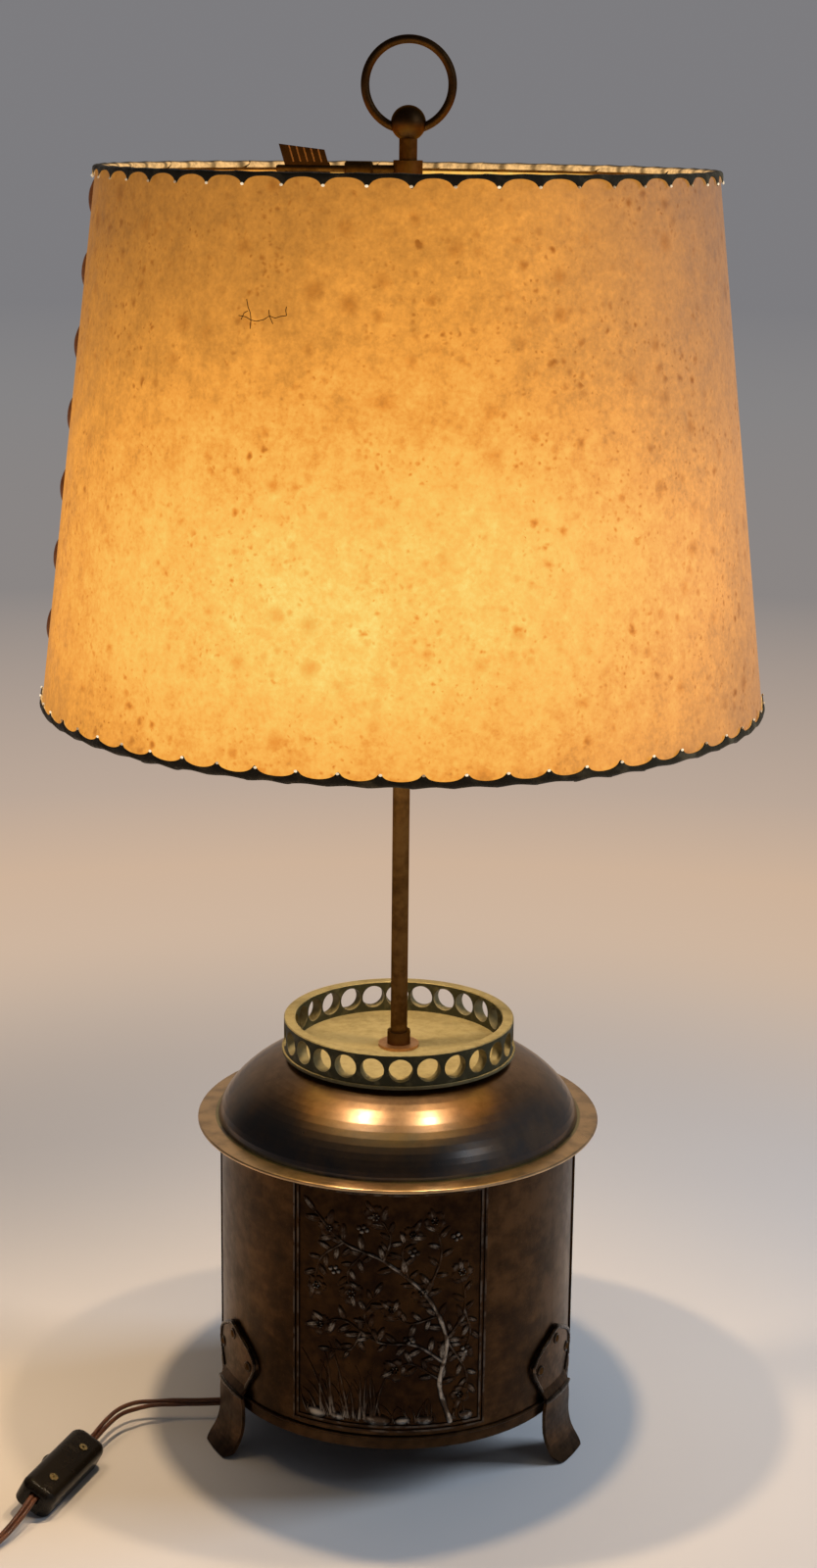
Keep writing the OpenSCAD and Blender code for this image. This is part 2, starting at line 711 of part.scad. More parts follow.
module pipe_bushing() {
    color("#2b2b2b") difference() {
        union() {
            translate([0, 0, bushing_low]) cylinder(h = bushing_flange, r = bushing_r);
            translate([0, 0, bushing_low])
                cylinder(h = bushing_flange + bushing_len, r = rod_bore - slip);
        }
        translate([0, 0, bushing_low - 1])
            cylinder(h = bushing_flange + bushing_len + 2, r = bushing_bore);
    }
}

module inner_lead() {
    color(brown_cord) translate([0, 0, bushing_low]) rotate([0, 0, 90])
        linear_extrude(height = lead_top - bushing_low)
            polygon(eight_sides(cord_w, cord_t, cord_chamfer));
}

module socket_leads() {
    elbow = socket_reach;
    color(brown_cord) for (s = [-1, 1]) union() {
        bar([s * 0.5, 0, cluster_z], [s * elbow, 0, cluster_z], lead_r);
        translate([s * elbow, 0, cluster_z]) sphere(r = lead_r, $fn = 32);
        bar([s * elbow, 0, cluster_z], [s * elbow, 0, boss_top + core_low + core_hole], lead_r);
    }
}

module cluster_body() {
    color(brass) difference() {
        union() {
            translate([0, 0, cluster_z - cluster_h / 2]) cylinder(h = cluster_h, r = cluster_r);
            bar([-socket_reach, 0, cluster_z], [socket_reach, 0, cluster_z], socket_arm_r);
            for (s = [-1, 1]) translate([s * socket_reach, 0, cluster_z - boss_h / 2])
                cylinder(h = boss_h, r = boss_r);
        }
        translate([0, 0, cluster_z - cluster_h]) cylinder(h = 2 * cluster_h, r = rod_r + slip);
        bar([-socket_reach, 0, cluster_z], [socket_reach, 0, cluster_z], lead_bore);
        for (s = [-1, 1]) translate([s * socket_reach, 0, cluster_z - lead_bore])
            cylinder(h = boss_h, r = lead_bore);
    }
}

// Both sockets' places, with the boss's top at the origin
module at_sockets() {
    for (s = [-1, 1]) translate([s * socket_reach, 0, boss_top]) children();
}

module socket_caps() {
    inner_r = cap_r - socket_t;
    color(brass) at_sockets() rotate_extrude() polygon([[lead_bore, 0], [boss_r, 0],
        [cap_r - 2.5, 2.5], [cap_r, 7], [cap_r, cap_h], [inner_r, cap_h], [inner_r, 7.2],
        [inner_r - 2.3, 3.2], [boss_r - 0.3, socket_t], [lead_bore, socket_t]]);
}

module socket_cores() {
    core_r = cap_r - socket_t - 1.6;
    color("#d8d2c4") at_sockets() difference() {
        union() {
            translate([0, 0, core_low]) cylinder(h = core_top - core_low, r = core_r);
            translate([0, 0, core_top]) cylinder(h = contact_h, r = 3);
        }
        translate([0, 0, core_low - 1]) cylinder(h = 1 + core_hole, r = lead_bore);
    }
}

module socket_shells() {
    outer = cap_r - socket_t - play;
    color(brass) at_sockets() washer(outer, outer - socket_t, shell_low, cap_h + shell_h - shell_low);
}

module bulb_bases() {
    groove = 0.5;
    rings = 5;
    step = base_h / (rings + 1);
    color("#b5b5b0") at_sockets() rotate_extrude() translate([0, base_low]) polygon(concat(
        [[0, 0], [3.5, 0], [base_r - 2 * groove, step / 2]],
        [for (i = [1:rings]) for (p = [[base_r, i * step - step / 4], [base_r, i * step],
            [base_r - groove, i * step + step / 4]]) p],
        [[base_r - groove, base_h], [0, base_h]]));
}

// Glass of a bulb, with the boss's top at the origin
module bulb() {
    neck_r = base_r - 0.9;
    globe = neck_low + bulb_rise;
    start = -56;
    outer = concat([[neck_r, neck_low], [neck_r + 0.6, neck_low + 9], [neck_r + 2.2, neck_low + 19]],
        [for (i = [0:16]) let (a = start + (90 - start) * i / 16)
            [bulb_r * cos(a), globe + bulb_r * sin(a)]]);
    inner = concat([[neck_r - glass_t, neck_low], [neck_r + 0.6 - glass_t, neck_low + 9],
        [neck_r + 2.2 - glass_t, neck_low + 19]],
        [for (i = [0:16]) let (a = start + (90 - start) * i / 16)
            [(bulb_r - glass_t) * cos(a), globe + (bulb_r - glass_t) * sin(a)]]);
    rotate_extrude() polygon(concat(outer, [for (i = [len(inner) - 1:-1:0]) inner[i]]));
}

module bulb_left() {
    color("#fff1cf") translate([-socket_reach, 0, boss_top]) bulb();
}

module bulb_right() {
    color("#fff1cf") translate([socket_reach, 0, boss_top]) bulb();
}

module finial_ball() {
    color(old_brass) difference() {
        translate([0, 0, ball_z]) sphere(r = ball_r);
        translate([0, 0, ball_z - 2 * ball_r])
            cylinder(h = 2 * ball_r - ball_seat + play, r = rod_r + slip);
    }
}

module finial_ring() {
    color(old_brass) difference() {
        translate([0, 0, ring_z]) rotate([90, 0, 0]) rotate_extrude()
            translate([ring_r, 0]) circle(r = ring_wire, $fn = 48);
        translate([0, 0, ball_z]) sphere(r = ball_r + slip);
    }
}

module slide_collar() {
    color(old_brass) difference() {
        union() {
            translate([0, 0, collar_low]) cylinder(h = collar_h, r = collar_r);
            translate([0, 0, collar_low - flange_t]) cylinder(h = flange_t, r = flange_r);
        }
        translate([0, 0, collar_low - flange_t - 1])
            cylinder(h = collar_h + flange_t + 2, r = rod_r + slip);
        bar([0, 0, key_z], [-2 * collar_r, 0, key_z], screw_r + slip);
    }
}

module key_screw() {
    tip_gap = 0.3;
    knob_end = knob_start + knob_len;
    edge = 1;
    color(old_brass) translate([0, 0, key_z]) rotate([0, -90, 0]) rotate_extrude($fn = 48) polygon([
        [0, rod_r + tip_gap], [screw_r, rod_r + tip_gap], [screw_r, knob_start],
        [knob_r - edge, knob_start], [knob_r, knob_start + edge], [knob_r, knob_end - edge],
        [knob_r - edge, knob_end], [shaft_r, knob_end], [shaft_r, key_reach - edge],
        [shaft_r - edge / 2, key_reach], [0, key_reach]]);
}

// Two flat vanes on the key's shaft, slotted into barbs like an arrow's feathers
module key_vanes() {
    tail = key_reach - 1.5;
    start = tail - vane_len;
    inner_h = vane_h - 3;
    slope = atan2(vane_lean, vane_h);
    color(old_brass) translate([0, 0, key_z]) difference() {
        for (s = [0, 1]) mirror([0, 0, s]) translate([0, vane_t / 2, 0]) rotate([90, 0, 0])
            linear_extrude(height = vane_t) difference() {
                polygon([[-tail + vane_lean, 0], [-tail, vane_h], [-start - vane_lean, inner_h],
                    [-start, 0]]);
                for (i = [1:barb_count])
                    translate([vane_lean - tail + vane_len * i / (barb_count + 1.5), shaft_r + 1.5])
                        rotate(slope) square([barb_w, 2 * vane_h]);
            }
        bar([1, 0, 0], [-2 * key_reach, 0, 0], shaft_r + slip);
    }
}

// The spider's arms, from its hub to the upper wire
module spider_arms(r) {
    start = (collar_r + flange_r) / 2;
    for (a = arm_angles) rotate([0, 0, a])
        bar([start, 0, hub_z + hub_t / 2], [wire_ring(top_wire_z), 0, top_wire_z], r);
}

module spider_hub() {
    color(old_brass) washer(flange_r, collar_r + slip, hub_z, hub_t);
}

module spider() {
    color(old_brass) difference() {
        spider_arms(arm_r);
        translate([0, 0, hub_z - hub_t]) cylinder(h = 3 * hub_t, r = flange_r + slip);
        hoop(wire_ring(top_wire_z), top_wire_z, wire_r + slip);
    }
}

module top_wire() {
    color(old_brass) hoop(wire_ring(top_wire_z), top_wire_z, wire_r);
}

module bottom_wire() {
    color(old_brass) hoop(wire_ring(bottom_wire_z), bottom_wire_z, wire_r);
}

module shade_parchment() {
    color(parchment) rotate_extrude() polygon([[shade_bottom_r, shade_low], [shade_top_r, shade_top],
        [shade_top_r - parchment_t, shade_top], [shade_bottom_r - parchment_t, shade_low]]);
}

// Lacing wrapped over a rim: the rim's height, the height of its wire, and which way is out
module rim_lacing(rim, wire_z, out) {
    low = rim - out * lace_h;
    cap = rim + out * play;
    top = cap + out * lace_t;
    inner = wire_ring(wire_z) - wire_r - play;
    color(leather) rotate_extrude() polygon([[shade_r(low) + play, low],
        [shade_r(low) + play + lace_t, low], [shade_r(top) + play + lace_t, top],
        [inner - lace_t, top], [inner - lace_t, low], [inner, low], [inner, cap],
        [shade_r(cap) + play, cap]]);
}

module top_lacing() {
    color(leather) difference() {
        rim_lacing(shade_top, top_wire_z, 1);
        spider_arms(arm_r + play);
    }
}

module bottom_lacing() {
    rim_lacing(shade_low, bottom_wire_z, -1);
}

// Running stitches of lace up the shade's side, lying on the parchment
module side_lacing() {
    first = lace_h + seam_gap + stitch_len / 2;
    count = 1 + floor((shade_h - 2 * first) / seam_pitch);
    half = stitch_len / 2 - stitch_r;
    lift = stitch_r + play;
    color(leather) rotate([0, 0, seam_angle - 90]) for (i = [0:count - 1]) {
        z = shade_top - first - i * seam_pitch;
        translate([shade_r(z) + lift, 0, z]) rotate([0, -atan(shade_slope), 0])
            rotate_extrude($fn = 32) capsule_half(half, stitch_r);
    }
}

// Right half of a lengthwise section through a round-ended rod
module capsule_half(half, r) {
    intersection() {
        union() {
            translate([-r, -half]) square([2 * r, 2 * half]);
            for (s = [-1, 1]) translate([0, s * half]) circle(r = r);
        }
        translate([0, -half - r]) square([r, 2 * (half + r)]);
    }
}

// The switch's place, its length along Y, tilted on to its right lower edge
module at_switch() {
    translate([switch_x, switch_y, switch_lift]) rotate([0, switch_roll, switch_turn]) children();
}

// The four upright corners of the switch
module switch_corners() {
    for (sx = [-1, 1]) for (sy = [-1, 1])
        translate([sx * (switch_w / 2 - switch_corner), sy * (switch_len / 2 - switch_corner), 0])
            children();
}

// Room for the works inside the switch
module switch_room(z0, z1) {
    translate([switch_wall - switch_w / 2, 2 * switch_wall - switch_len / 2, z0])
        cube([switch_w - 2 * switch_wall, switch_len - 4 * switch_wall, z1 - z0]);
}

// Slot in the switch's side for the thumb wheel, and holes for the rivets
module switch_cuts() {
    slot_half = sqrt(wheel_r * wheel_r - pow(wheel_r - wheel_proud - switch_wall, 2)) + 1;
    translate([-switch_w, -slot_half, wheel_z - wheel_t / 2 - wheel_gap])
        cube([switch_w, 2 * slot_half, wheel_t + 2 * wheel_gap]);
    for (s = [-1, 1]) translate([switch_rivet_off, s * switch_rivet_span / 2, -1])
        cylinder(h = 2 * switch_h, r = rivet_r + play, $fn = 32);
}

module switch_base() {
    color(bakelite) at_switch() difference() {
        union() {
            switch_corners() cylinder(h = switch_seam, r = switch_corner);
            translate([-switch_w / 2, switch_corner - switch_len / 2, 0])
                cube([switch_w, switch_len - 2 * switch_corner, switch_seam]);
            translate([switch_corner - switch_w / 2, -switch_len / 2, 0])
                cube([switch_w - 2 * switch_corner, switch_len, switch_seam]);
        }
        switch_room(switch_wall, switch_h);
        switch_cuts();
    }
}

module switch_cover() {
    straight = switch_h - switch_seam - switch_round;
    port_gap = 0.3;
    // The cord lies level in the tilted switch, so its port is wider and higher than the cord
    port_wide = cord_w * cos(switch_roll) + cord_t * sin(switch_roll) + 2 * port_gap;
    port_high = cord_t * cos(switch_roll) + cord_w * sin(switch_roll) + 2 * port_gap;
    color(bakelite) at_switch() difference() {
        hull() switch_corners() translate([0, 0, switch_seam]) rotate_extrude($fn = 32) {
            square([switch_corner, straight]);
            square([switch_corner - switch_round, straight + switch_round]);
            translate([switch_corner - switch_round, straight]) intersection() {
                circle(r = switch_round);
                square(switch_round);
            }
        }
        switch_room(0, switch_h - switch_wall);
        translate([-port_wide / 2, -switch_len, port_z - port_high / 2])
            cube([port_wide, 2 * switch_len, port_high]);
        switch_cuts();
    }
}

module switch_rivets() {
    head_t = 0.6;
    eyelet = 0.8;
    color(brass) at_switch() for (s = [-1, 1]) translate([switch_rivet_off, s * switch_rivet_span / 2, 0])
        difference() {
        union() {
            translate([0, 0, 0.4]) cylinder(h = switch_h - 0.4, r = rivet_r, $fn = 32);
            translate([0, 0, switch_h]) cylinder(h = head_t, r = switch_rivet_head, $fn = 32);
        }
        translate([0, 0, switch_h - 3]) cylinder(h = 4, r = eyelet, $fn = 32);
    }
}

module switch_contacts() {
    strip = [5, 7, 1];
    color(brass) at_switch() for (s = [-1, 1])
        translate([-strip.x / 2, s * (switch_rivet_span / 2 + 6) - strip.y / 2, switch_wall]) cube(strip);
}

module switch_spindle() {
    color(steel) at_switch() translate([wheel_x, 0, switch_wall])
        cylinder(h = switch_h - 2 * switch_wall, r = spindle_r);
}

module switch_wheel() {
    edge = 0.8;
    color(bakelite) at_switch() translate([wheel_x, 0, wheel_z - wheel_t / 2])
        rotate_extrude() polygon([[spindle_r + slip, 0], [wheel_r - edge, 0], [wheel_r, edge],
            [wheel_r, wheel_t - edge], [wheel_r - edge, wheel_t], [spindle_r + slip, wheel_t]]);
}

module cord_lead() {
    color(brown_cord) sweep(lead_route, eight_sides(cord_w, cord_t, cord_chamfer));
}

module cord_tail() {
    color(brown_cord) sweep(tail_route, eight_sides(cord_w, cord_t, cord_chamfer));
}

module cord_coil() {
    route = coil_route();
    echo(coil_least_gap = coil_gap(route), coil_length = route_length(route));
    echo(lead_length = route_length(lead_route), tail_length = route_length(tail_route),
        end_length = route_length(end_route));
    color(brown_cord) sweep(route, six_sides(cord_w, cord_t, cord_chamfer));
}

module cord_end() {
    color(brown_cord) sweep(end_route, eight_sides(cord_w, cord_t, cord_chamfer));
}

// The plug's place, its cord end at the origin and its blades pointing along Y
module at_plug() {
    translate([plug_at.x, plug_at.y, 0]) children();
}

module plug_body() {
    neck_w = 10;
    color(bakelite) at_plug() difference() {
        linear_extrude(height = plug_h) polygon([[-neck_w / 2, 0], [neck_w / 2, 0],
            [plug_w / 2, plug_len * 0.55], [plug_w / 2, plug_len], [-plug_w / 2, plug_len],
            [-plug_w / 2, plug_len * 0.55]]);
        blades(play, play);
    }
}

// Both blades, grown by a gap at their sides and at their seat
module blades(side_gap, end_gap) {
    for (s = [-1, 1]) translate([s * blade_span / 2 - blade_t / 2 - side_gap,
        plug_len - blade_seat - end_gap, plug_port_z - blade_w / 2 - side_gap])
        cube([blade_t + 2 * side_gap, blade_seat + blade_len + end_gap, blade_w + 2 * side_gap]);
}

module plug_blades() {
    color(brass) at_plug() blades(0, 0);
}

canister_wall();
canister_floor();
base_hoop();
relief_panel(panel_angles[0]);  // panel_front
relief_panel(panel_angles[1]);  // panel_right
relief_panel(panel_angles[2]);  // panel_left
foot(foot_angles[0]);  // foot_left
foot(foot_angles[1]);  // foot_right
foot(foot_angles[2]);  // foot_back
foot_rivets();
lid();
gallery_ring();
gallery_floor();
tray_washer();
tray_clamp();
rod();
lock_nuts();
lock_washers();
pipe_bushing();
inner_lead();
socket_leads();
cluster_body();
socket_caps();
socket_cores();
socket_shells();
bulb_bases();
bulb_left();
bulb_right();
finial_ball();
finial_ring();
slide_collar();
key_screw();
key_vanes();
spider_hub();
spider();
top_wire();
bottom_wire();
shade_parchment();
top_lacing();
bottom_lacing();
side_lacing();
switch_base();
switch_cover();
switch_rivets();
switch_contacts();
switch_spindle();
switch_wheel();
cord_lead();
cord_tail();
cord_coil();
cord_end();
plug_body();
plug_blades();
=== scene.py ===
# %% [markdown]
# # A table lamp with a copper canister and a parchment shade
# The lamp's solids come packed from CAD, already at their real size and place. This lesson dresses
# them: it lays the cord, gives every metal its age, stitches the shade's lacing and lights the bulbs.

# %% Load the frame
import math
import random

import bpy
from mathutils import Matrix, Vector


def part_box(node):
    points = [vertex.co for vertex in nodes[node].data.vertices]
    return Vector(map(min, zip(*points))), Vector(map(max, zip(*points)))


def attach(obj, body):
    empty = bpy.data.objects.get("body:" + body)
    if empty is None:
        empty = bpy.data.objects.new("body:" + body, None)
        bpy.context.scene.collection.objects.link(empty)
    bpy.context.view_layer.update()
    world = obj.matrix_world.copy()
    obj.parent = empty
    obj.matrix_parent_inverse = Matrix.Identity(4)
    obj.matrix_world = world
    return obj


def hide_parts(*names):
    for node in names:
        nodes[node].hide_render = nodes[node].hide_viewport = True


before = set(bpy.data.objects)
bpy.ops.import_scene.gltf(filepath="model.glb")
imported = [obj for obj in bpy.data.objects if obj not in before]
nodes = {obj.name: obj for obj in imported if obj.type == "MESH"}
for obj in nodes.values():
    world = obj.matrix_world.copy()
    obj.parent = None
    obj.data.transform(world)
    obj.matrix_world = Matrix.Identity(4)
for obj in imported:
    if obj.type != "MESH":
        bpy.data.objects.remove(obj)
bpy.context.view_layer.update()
MM = 0.001

# %% [markdown]
# ## Camera
# The photograph was taken with a lens a little longer than normal, from just above the top of the shade and
# looking down. A camera could be pointed with a Track To constraint, but three plain angles (heading,
# pitch and roll) are easier to read and to correct, so the matrix is written from them.

# %% Camera at the photograph's view
PHOTO_SIZE = (834, 1600)
FOCAL_PIXELS = 2626.9
CAMERA_PLACE = Vector((0.0608, -1.5008, 0.8046))
CAMERA_HEADING = math.radians(2.157)
CAMERA_PITCH = math.radians(-14.55)
CAMERA_ROLL = math.radians(0.65)


def deselect():
    """Leaves nothing selected, because an operator acts on all that is."""
    bpy.ops.object.select_all(action="DESELECT")


deselect()
bpy.ops.object.camera_add()
camera = bpy.context.object
camera.name = "photo_camera"
camera.data.sensor_width = 36
camera.data.lens = camera.data.sensor_width * FOCAL_PIXELS / max(PHOTO_SIZE)
camera.data.clip_start = 0.05
camera.data.clip_end = 60
camera.matrix_world = (
    Matrix.Translation(CAMERA_PLACE)
    @ Matrix.Rotation(CAMERA_HEADING, 4, "Z")
    @ Matrix.Rotation(math.pi / 2 + CAMERA_PITCH, 4, "X")
    @ Matrix.Rotation(CAMERA_ROLL, 4, "Z")
)
bpy.context.scene.camera = camera
print("lens in mm:", round(camera.data.lens, 1))

# %% [markdown]
# ## Nodes in few words
# Materials are built from nodes. Wiring each one by hand takes four lines, so a few small helpers add a
# node, set its sockets and link whatever is handed to them.

# %% Helpers for shader nodes
def add_node(tree, kind, settings=None, **sockets):
    """A new node with its settings and its sockets."""
    made = tree.nodes.new(kind)
    for key, value in (settings or {}).items():
        setattr(made, key, value)
    wire(tree, made, **sockets)
    return made


def wire(tree, node, **sockets):
    """Sets or links a node's sockets, whose names are written with underscores for spaces."""
    for name, value in sockets.items():
        plug_in(tree, node.inputs[name.replace("_", " ")], value)


def plug_in(tree, socket, value):
    """Links a socket to another one, or sets its plain value."""
    if isinstance(value, bpy.types.NodeSocket):
        tree.links.new(value, socket)
    else:
        socket.default_value = value


def calc(tree, operation, *values):
    """The result of a Math node."""
    made = add_node(tree, "ShaderNodeMath", {"operation": operation})
    for socket, value in zip(made.inputs, values):
        plug_in(tree, socket, value)
    return made.outputs["Value"]


def times(tree, first, second):
    """The product of two values."""
    return calc(tree, "MULTIPLY", first, second)


def blend_colours(tree, factor, first, second, how="MIX"):
    """Two colours mixed by a factor."""
    made = add_node(tree, "ShaderNodeMix", {"data_type": "RGBA", "blend_type": how})
    for identifier, value in (("Factor_Float", factor), ("A_Color", first), ("B_Color", second)):
        socket = next(s for s in made.inputs if s.identifier == identifier)
        plug_in(tree, socket, value)
    return next(s for s in made.outputs if s.identifier == "Result_Color")


def mix_shaders(tree, factor, first, second):
    """Two shaders mixed by a factor."""
    made = add_node(tree, "ShaderNodeMixShader", Fac=factor)
    tree.links.new(first.outputs[0], made.inputs[1])
    tree.links.new(second.outputs[0], made.inputs[2])
    return made


# %% Helpers for ramps, noise and places
def spread(tree, value, low, high, to_low=0.0, to_high=1.0, kind="SMOOTHSTEP"):
    """A value stretched from one range to another."""
    made = add_node(tree, "ShaderNodeMapRange", {"interpolation_type": kind}, Value=value)
    for name, number in (("From Min", low), ("From Max", high), ("To Min", to_low), ("To Max", to_high)):
        plug_in(tree, made.inputs[name], number)
    return made.outputs["Result"]


def colour_steps(tree, factor, stops):
    """A Color Ramp with the given places and colours."""
    made = add_node(tree, "ShaderNodeValToRGB", Fac=factor)
    elements = made.color_ramp.elements
    while len(elements) < len(stops):
        elements.new(0.5)
    for element, (place, colour) in zip(elements, stops):
        element.position = place
        element.color = (*colour, 1)
    return made.outputs["Color"]


def noise(tree, where, scale, detail=4.0, rough=0.55, kind="FBM"):
    """The value of a noise texture at a place."""
    made = add_node(tree, "ShaderNodeTexNoise", {"noise_type": kind}, Vector=where, Scale=scale,
                    Detail=detail, Roughness=rough)
    return made.outputs["Fac"]


def object_place(tree, stretch=(1, 1, 1)):
    """Object coordinates, stretched along the axes."""
    where = add_node(tree, "ShaderNodeTexCoord").outputs["Object"]
    return add_node(tree, "ShaderNodeMapping", Vector=where, Scale=stretch).outputs["Vector"]


def distance_to(tree, where, place):
    """Distance from a place that is given in millimetres."""
    made = add_node(tree, "ShaderNodeVectorMath", {"operation": "DISTANCE"}, Vector=where)
    made.inputs[1].default_value = Vector(place) * MM
    return made.outputs["Value"]


# %% Helpers for materials and groups
def shader_of(material):
    """A material's node tree and its Principled shader."""
    return material.node_tree, material.node_tree.nodes["Principled BSDF"]


def new_material(name):
    """A new material with its node tree and its Principled shader."""
    made = bpy.data.materials.new(name)
    made.use_nodes = True
    return made, *shader_of(made)


def base_colour(shader):
    """The socket that a shader has its colour from so far."""
    return shader.inputs["Base Color"].links[0].from_socket


def bump(tree, height, distance):
    """A normal from a height, which is scaled by a distance in metres."""
    return add_node(tree, "ShaderNodeBump", Height=height, Distance=distance).outputs["Normal"]


def place_group(tree, group, **sockets):
    """The outputs of a node group that is placed in a tree."""
    return add_node(tree, "ShaderNodeGroup", {"node_tree": group}, **sockets).outputs


# %% [markdown]
# ## Cord
# The lamp has a brown flat twin flex: two round strands moulded side by side. It drops out of the rod
# under the canister, runs to the left on edge, and turns level where its strands part before the switch.
# The switch lies tilted on its lower edge. After it come a coil of the spare length and the plug.
# A curve with a round bevel would make one thick round cable, so each stretch is swept as a mesh of two
# strands along one smooth route. The route's points are those of the CAD source.

# %% Sizes of the cord and its route
CORD_W = 5.6 * MM
CORD_T = 2.8 * MM
CORD_LAY = CORD_T / 2 + 0.05 * MM
SWITCH_PLACE = Vector((-199.5, -112, 5.567)) * MM
SWITCH_TURN = math.radians(-18)
SWITCH_ROLL = math.radians(28)
SWITCH_LEN = 72 * MM
PORT_Z = 9 * MM
PORT_IN = 5 * MM
COIL_PLACE = Vector((-292, -188, 0)) * MM
COIL_TURNS = 7.25
COIL_IN = 20.5 * MM
COIL_PITCH = 6.6 * MM
COIL_LAYER = 3.5 * MM
COIL_DIP = 3 * MM
COIL_STEPS = 36
COIL_START = math.radians(270)
COIL_ENTRY = 10 * MM
LEAD_STUB = 6 * MM
TAIL_STUB = 2 * MM
PLUG_H = 13 * MM
END_RUN = 26 * MM
END_STEP = 8 * MM
print("turns of the coil:", COIL_TURNS)


# %% Places on the switch and in the coil
def millimetres(points):
    """A list of places in millimetres as vectors in metres."""
    return [Vector(p) * MM for p in points]


def switch_point(across, along, z):
    """A place given in the axes of the switch, which lies tilted on its edge."""
    tilted = Matrix.Rotation(SWITCH_ROLL, 3, "Y") @ Vector((across, along, z))
    return SWITCH_PLACE + Matrix.Rotation(SWITCH_TURN, 3, "Z") @ tilted


def eased(t):
    """Goes gently from 0 to 1 and stays there."""
    u = min(max(t, 0), 1)
    return u * u * (3 - 2 * u)


def coil_point(turn):
    """Place of the coil's cord after some turns, with the middle of its length at the inside."""
    from_middle = abs(turn - COIL_TURNS / 2)
    radius = COIL_IN + COIL_PITCH * from_middle
    radius -= COIL_DIP * math.cos(2 * math.pi * min(from_middle, 0.25)) ** 2
    height = CORD_LAY + COIL_LAYER * eased(2 * (turn - COIL_TURNS / 2) + 0.5)
    angle = COIL_START - 2 * math.pi * turn
    return COIL_PLACE + Vector((radius * math.cos(angle), radius * math.sin(angle), height))


def coil_heading(turn):
    """Direction of the coil's cord after some turns."""
    angle = COIL_START - 2 * math.pi * turn
    return Vector((math.sin(angle), -math.cos(angle), 0))


# %% The route's four stretches
coil_first = coil_point(0) - CORD_W * coil_heading(0)
coil_last = coil_point(COIL_TURNS) + CORD_W * coil_heading(COIL_TURNS)
plug_port = coil_last + Vector((0, END_RUN, PLUG_H / 2 - coil_last.z))

lead_route = millimetres([
    (0, 0, 41), (0, 0, 38), (-3, 0, 26), (-12, -1, 17), (-24, -3.5, 13.5), (-39, -7, 12), (-56, -10.5, 11.5),
    (-74, -14, 11.5), (-93, -17.5, 12), (-111, -20.5, 12), (-123, -22, 12), (-135, -23, 12),
    (-147, -24.5, 12), (-158, -28, 12.5), (-165, -33.5, 13.2), (-171, -41, 13.8), (-175.5, -51, 14.1),
    (-179, -62, 14.1)])
half = SWITCH_LEN / 2
lead_route += [switch_point(0, along, PORT_Z) for along in (half + LEAD_STUB, half - PORT_IN)]
tail_route = [switch_point(0, along, PORT_Z) for along in (PORT_IN - half, -half - TAIL_STUB)]
tail_route += millimetres([
    (-210.5, -158.5, 11.2), (-215, -168.5, 8), (-220.5, -178.5, 5), (-227, -188.5, 2.7), (-235, -198.5, 1.6),
    (-244, -209, 1.45), (-254.5, -219, 1.45), (-267, -227.5, 1.45)])
tail_route += [coil_first + Vector((COIL_ENTRY, 0, 0)), coil_first]
coil_route = [coil_first]
coil_route += [coil_point(i / COIL_STEPS) for i in range(round(COIL_STEPS * COIL_TURNS) + 1)]
coil_route += [coil_last]
end_step = Vector((0, END_STEP, 0))
end_route = [coil_last, coil_last + end_step, plug_port - end_step, plug_port]
print("coil steps:", len(coil_route))

# %% Sweep the two strands along a route
STRAND_SIDES = 12
STRAND_WEB = 0.08 * MM


def smooth_route(points, steps):
    """A smooth curve through the points, with some steps between each two."""
    ends = [2 * points[0] - points[1], *points, 2 * points[-1] - points[-2]]
    line = []
    for a, b, c, d in zip(ends, ends[1:], ends[2:], ends[3:]):
        for k in range(steps):
            t = k / steps
            line.append(0.5 * (2 * b + (c - a) * t + (2 * a - 5 * b + 4 * c - d) * t**2
                               + (3 * b - a - 3 * c + d) * t**3))
    return line + [points[-1]]


def line_length(line):
    """Length of a line of points."""
    return sum((b - a).length for a, b in zip(line, line[1:]))


def level_across(heading):
    """Level direction across a route, which the flat cord lies along."""
    flat = Vector((heading.y, -heading.x, 0))
    return flat.normalized() if flat.length > 0.05 else Vector((0, 1, 0))


def sweep_strands(name, line, twist=lambda p: 0.0, apart=lambda p: 0.0):
    """A twin flex along a line; twist turns the pair about the line and apart parts the strands."""
    corners = []
    faces = []
    for side in (-1, 1):
        first = len(corners)
        for i, place in enumerate(line):
            heading = (line[min(i + 1, len(line) - 1)] - line[max(i - 1, 0)]).normalized()
            turn = Matrix.Rotation(twist(place), 3, heading)
            across = turn @ level_across(heading)
            upward = across.cross(heading)
            middle = place + across * side * (CORD_T / 2 - STRAND_WEB + apart(place) / 2)
            for k in range(STRAND_SIDES):
                angle = 2 * math.pi * k / STRAND_SIDES
                corners.append(middle + CORD_T / 2 * (math.cos(angle) * across + math.sin(angle) * upward))
        rings = len(line)
        for i in range(rings - 1):
            for k in range(STRAND_SIDES):
                a = first + i * STRAND_SIDES + k
                b = first + i * STRAND_SIDES + (k + 1) % STRAND_SIDES
                faces.append((a, a + STRAND_SIDES, b + STRAND_SIDES, b))
        faces.append(tuple(first + k for k in range(STRAND_SIDES)))
        faces.append(tuple(first + (rings - 1) * STRAND_SIDES + k for k in reversed(range(STRAND_SIDES))))
    mesh = bpy.data.meshes.new(name)
    mesh.from_pydata(corners, [], faces)
    mesh.shade_smooth()
    piece = bpy.data.objects.new(name, mesh)
    bpy.context.scene.collection.objects.link(piece)
    return piece


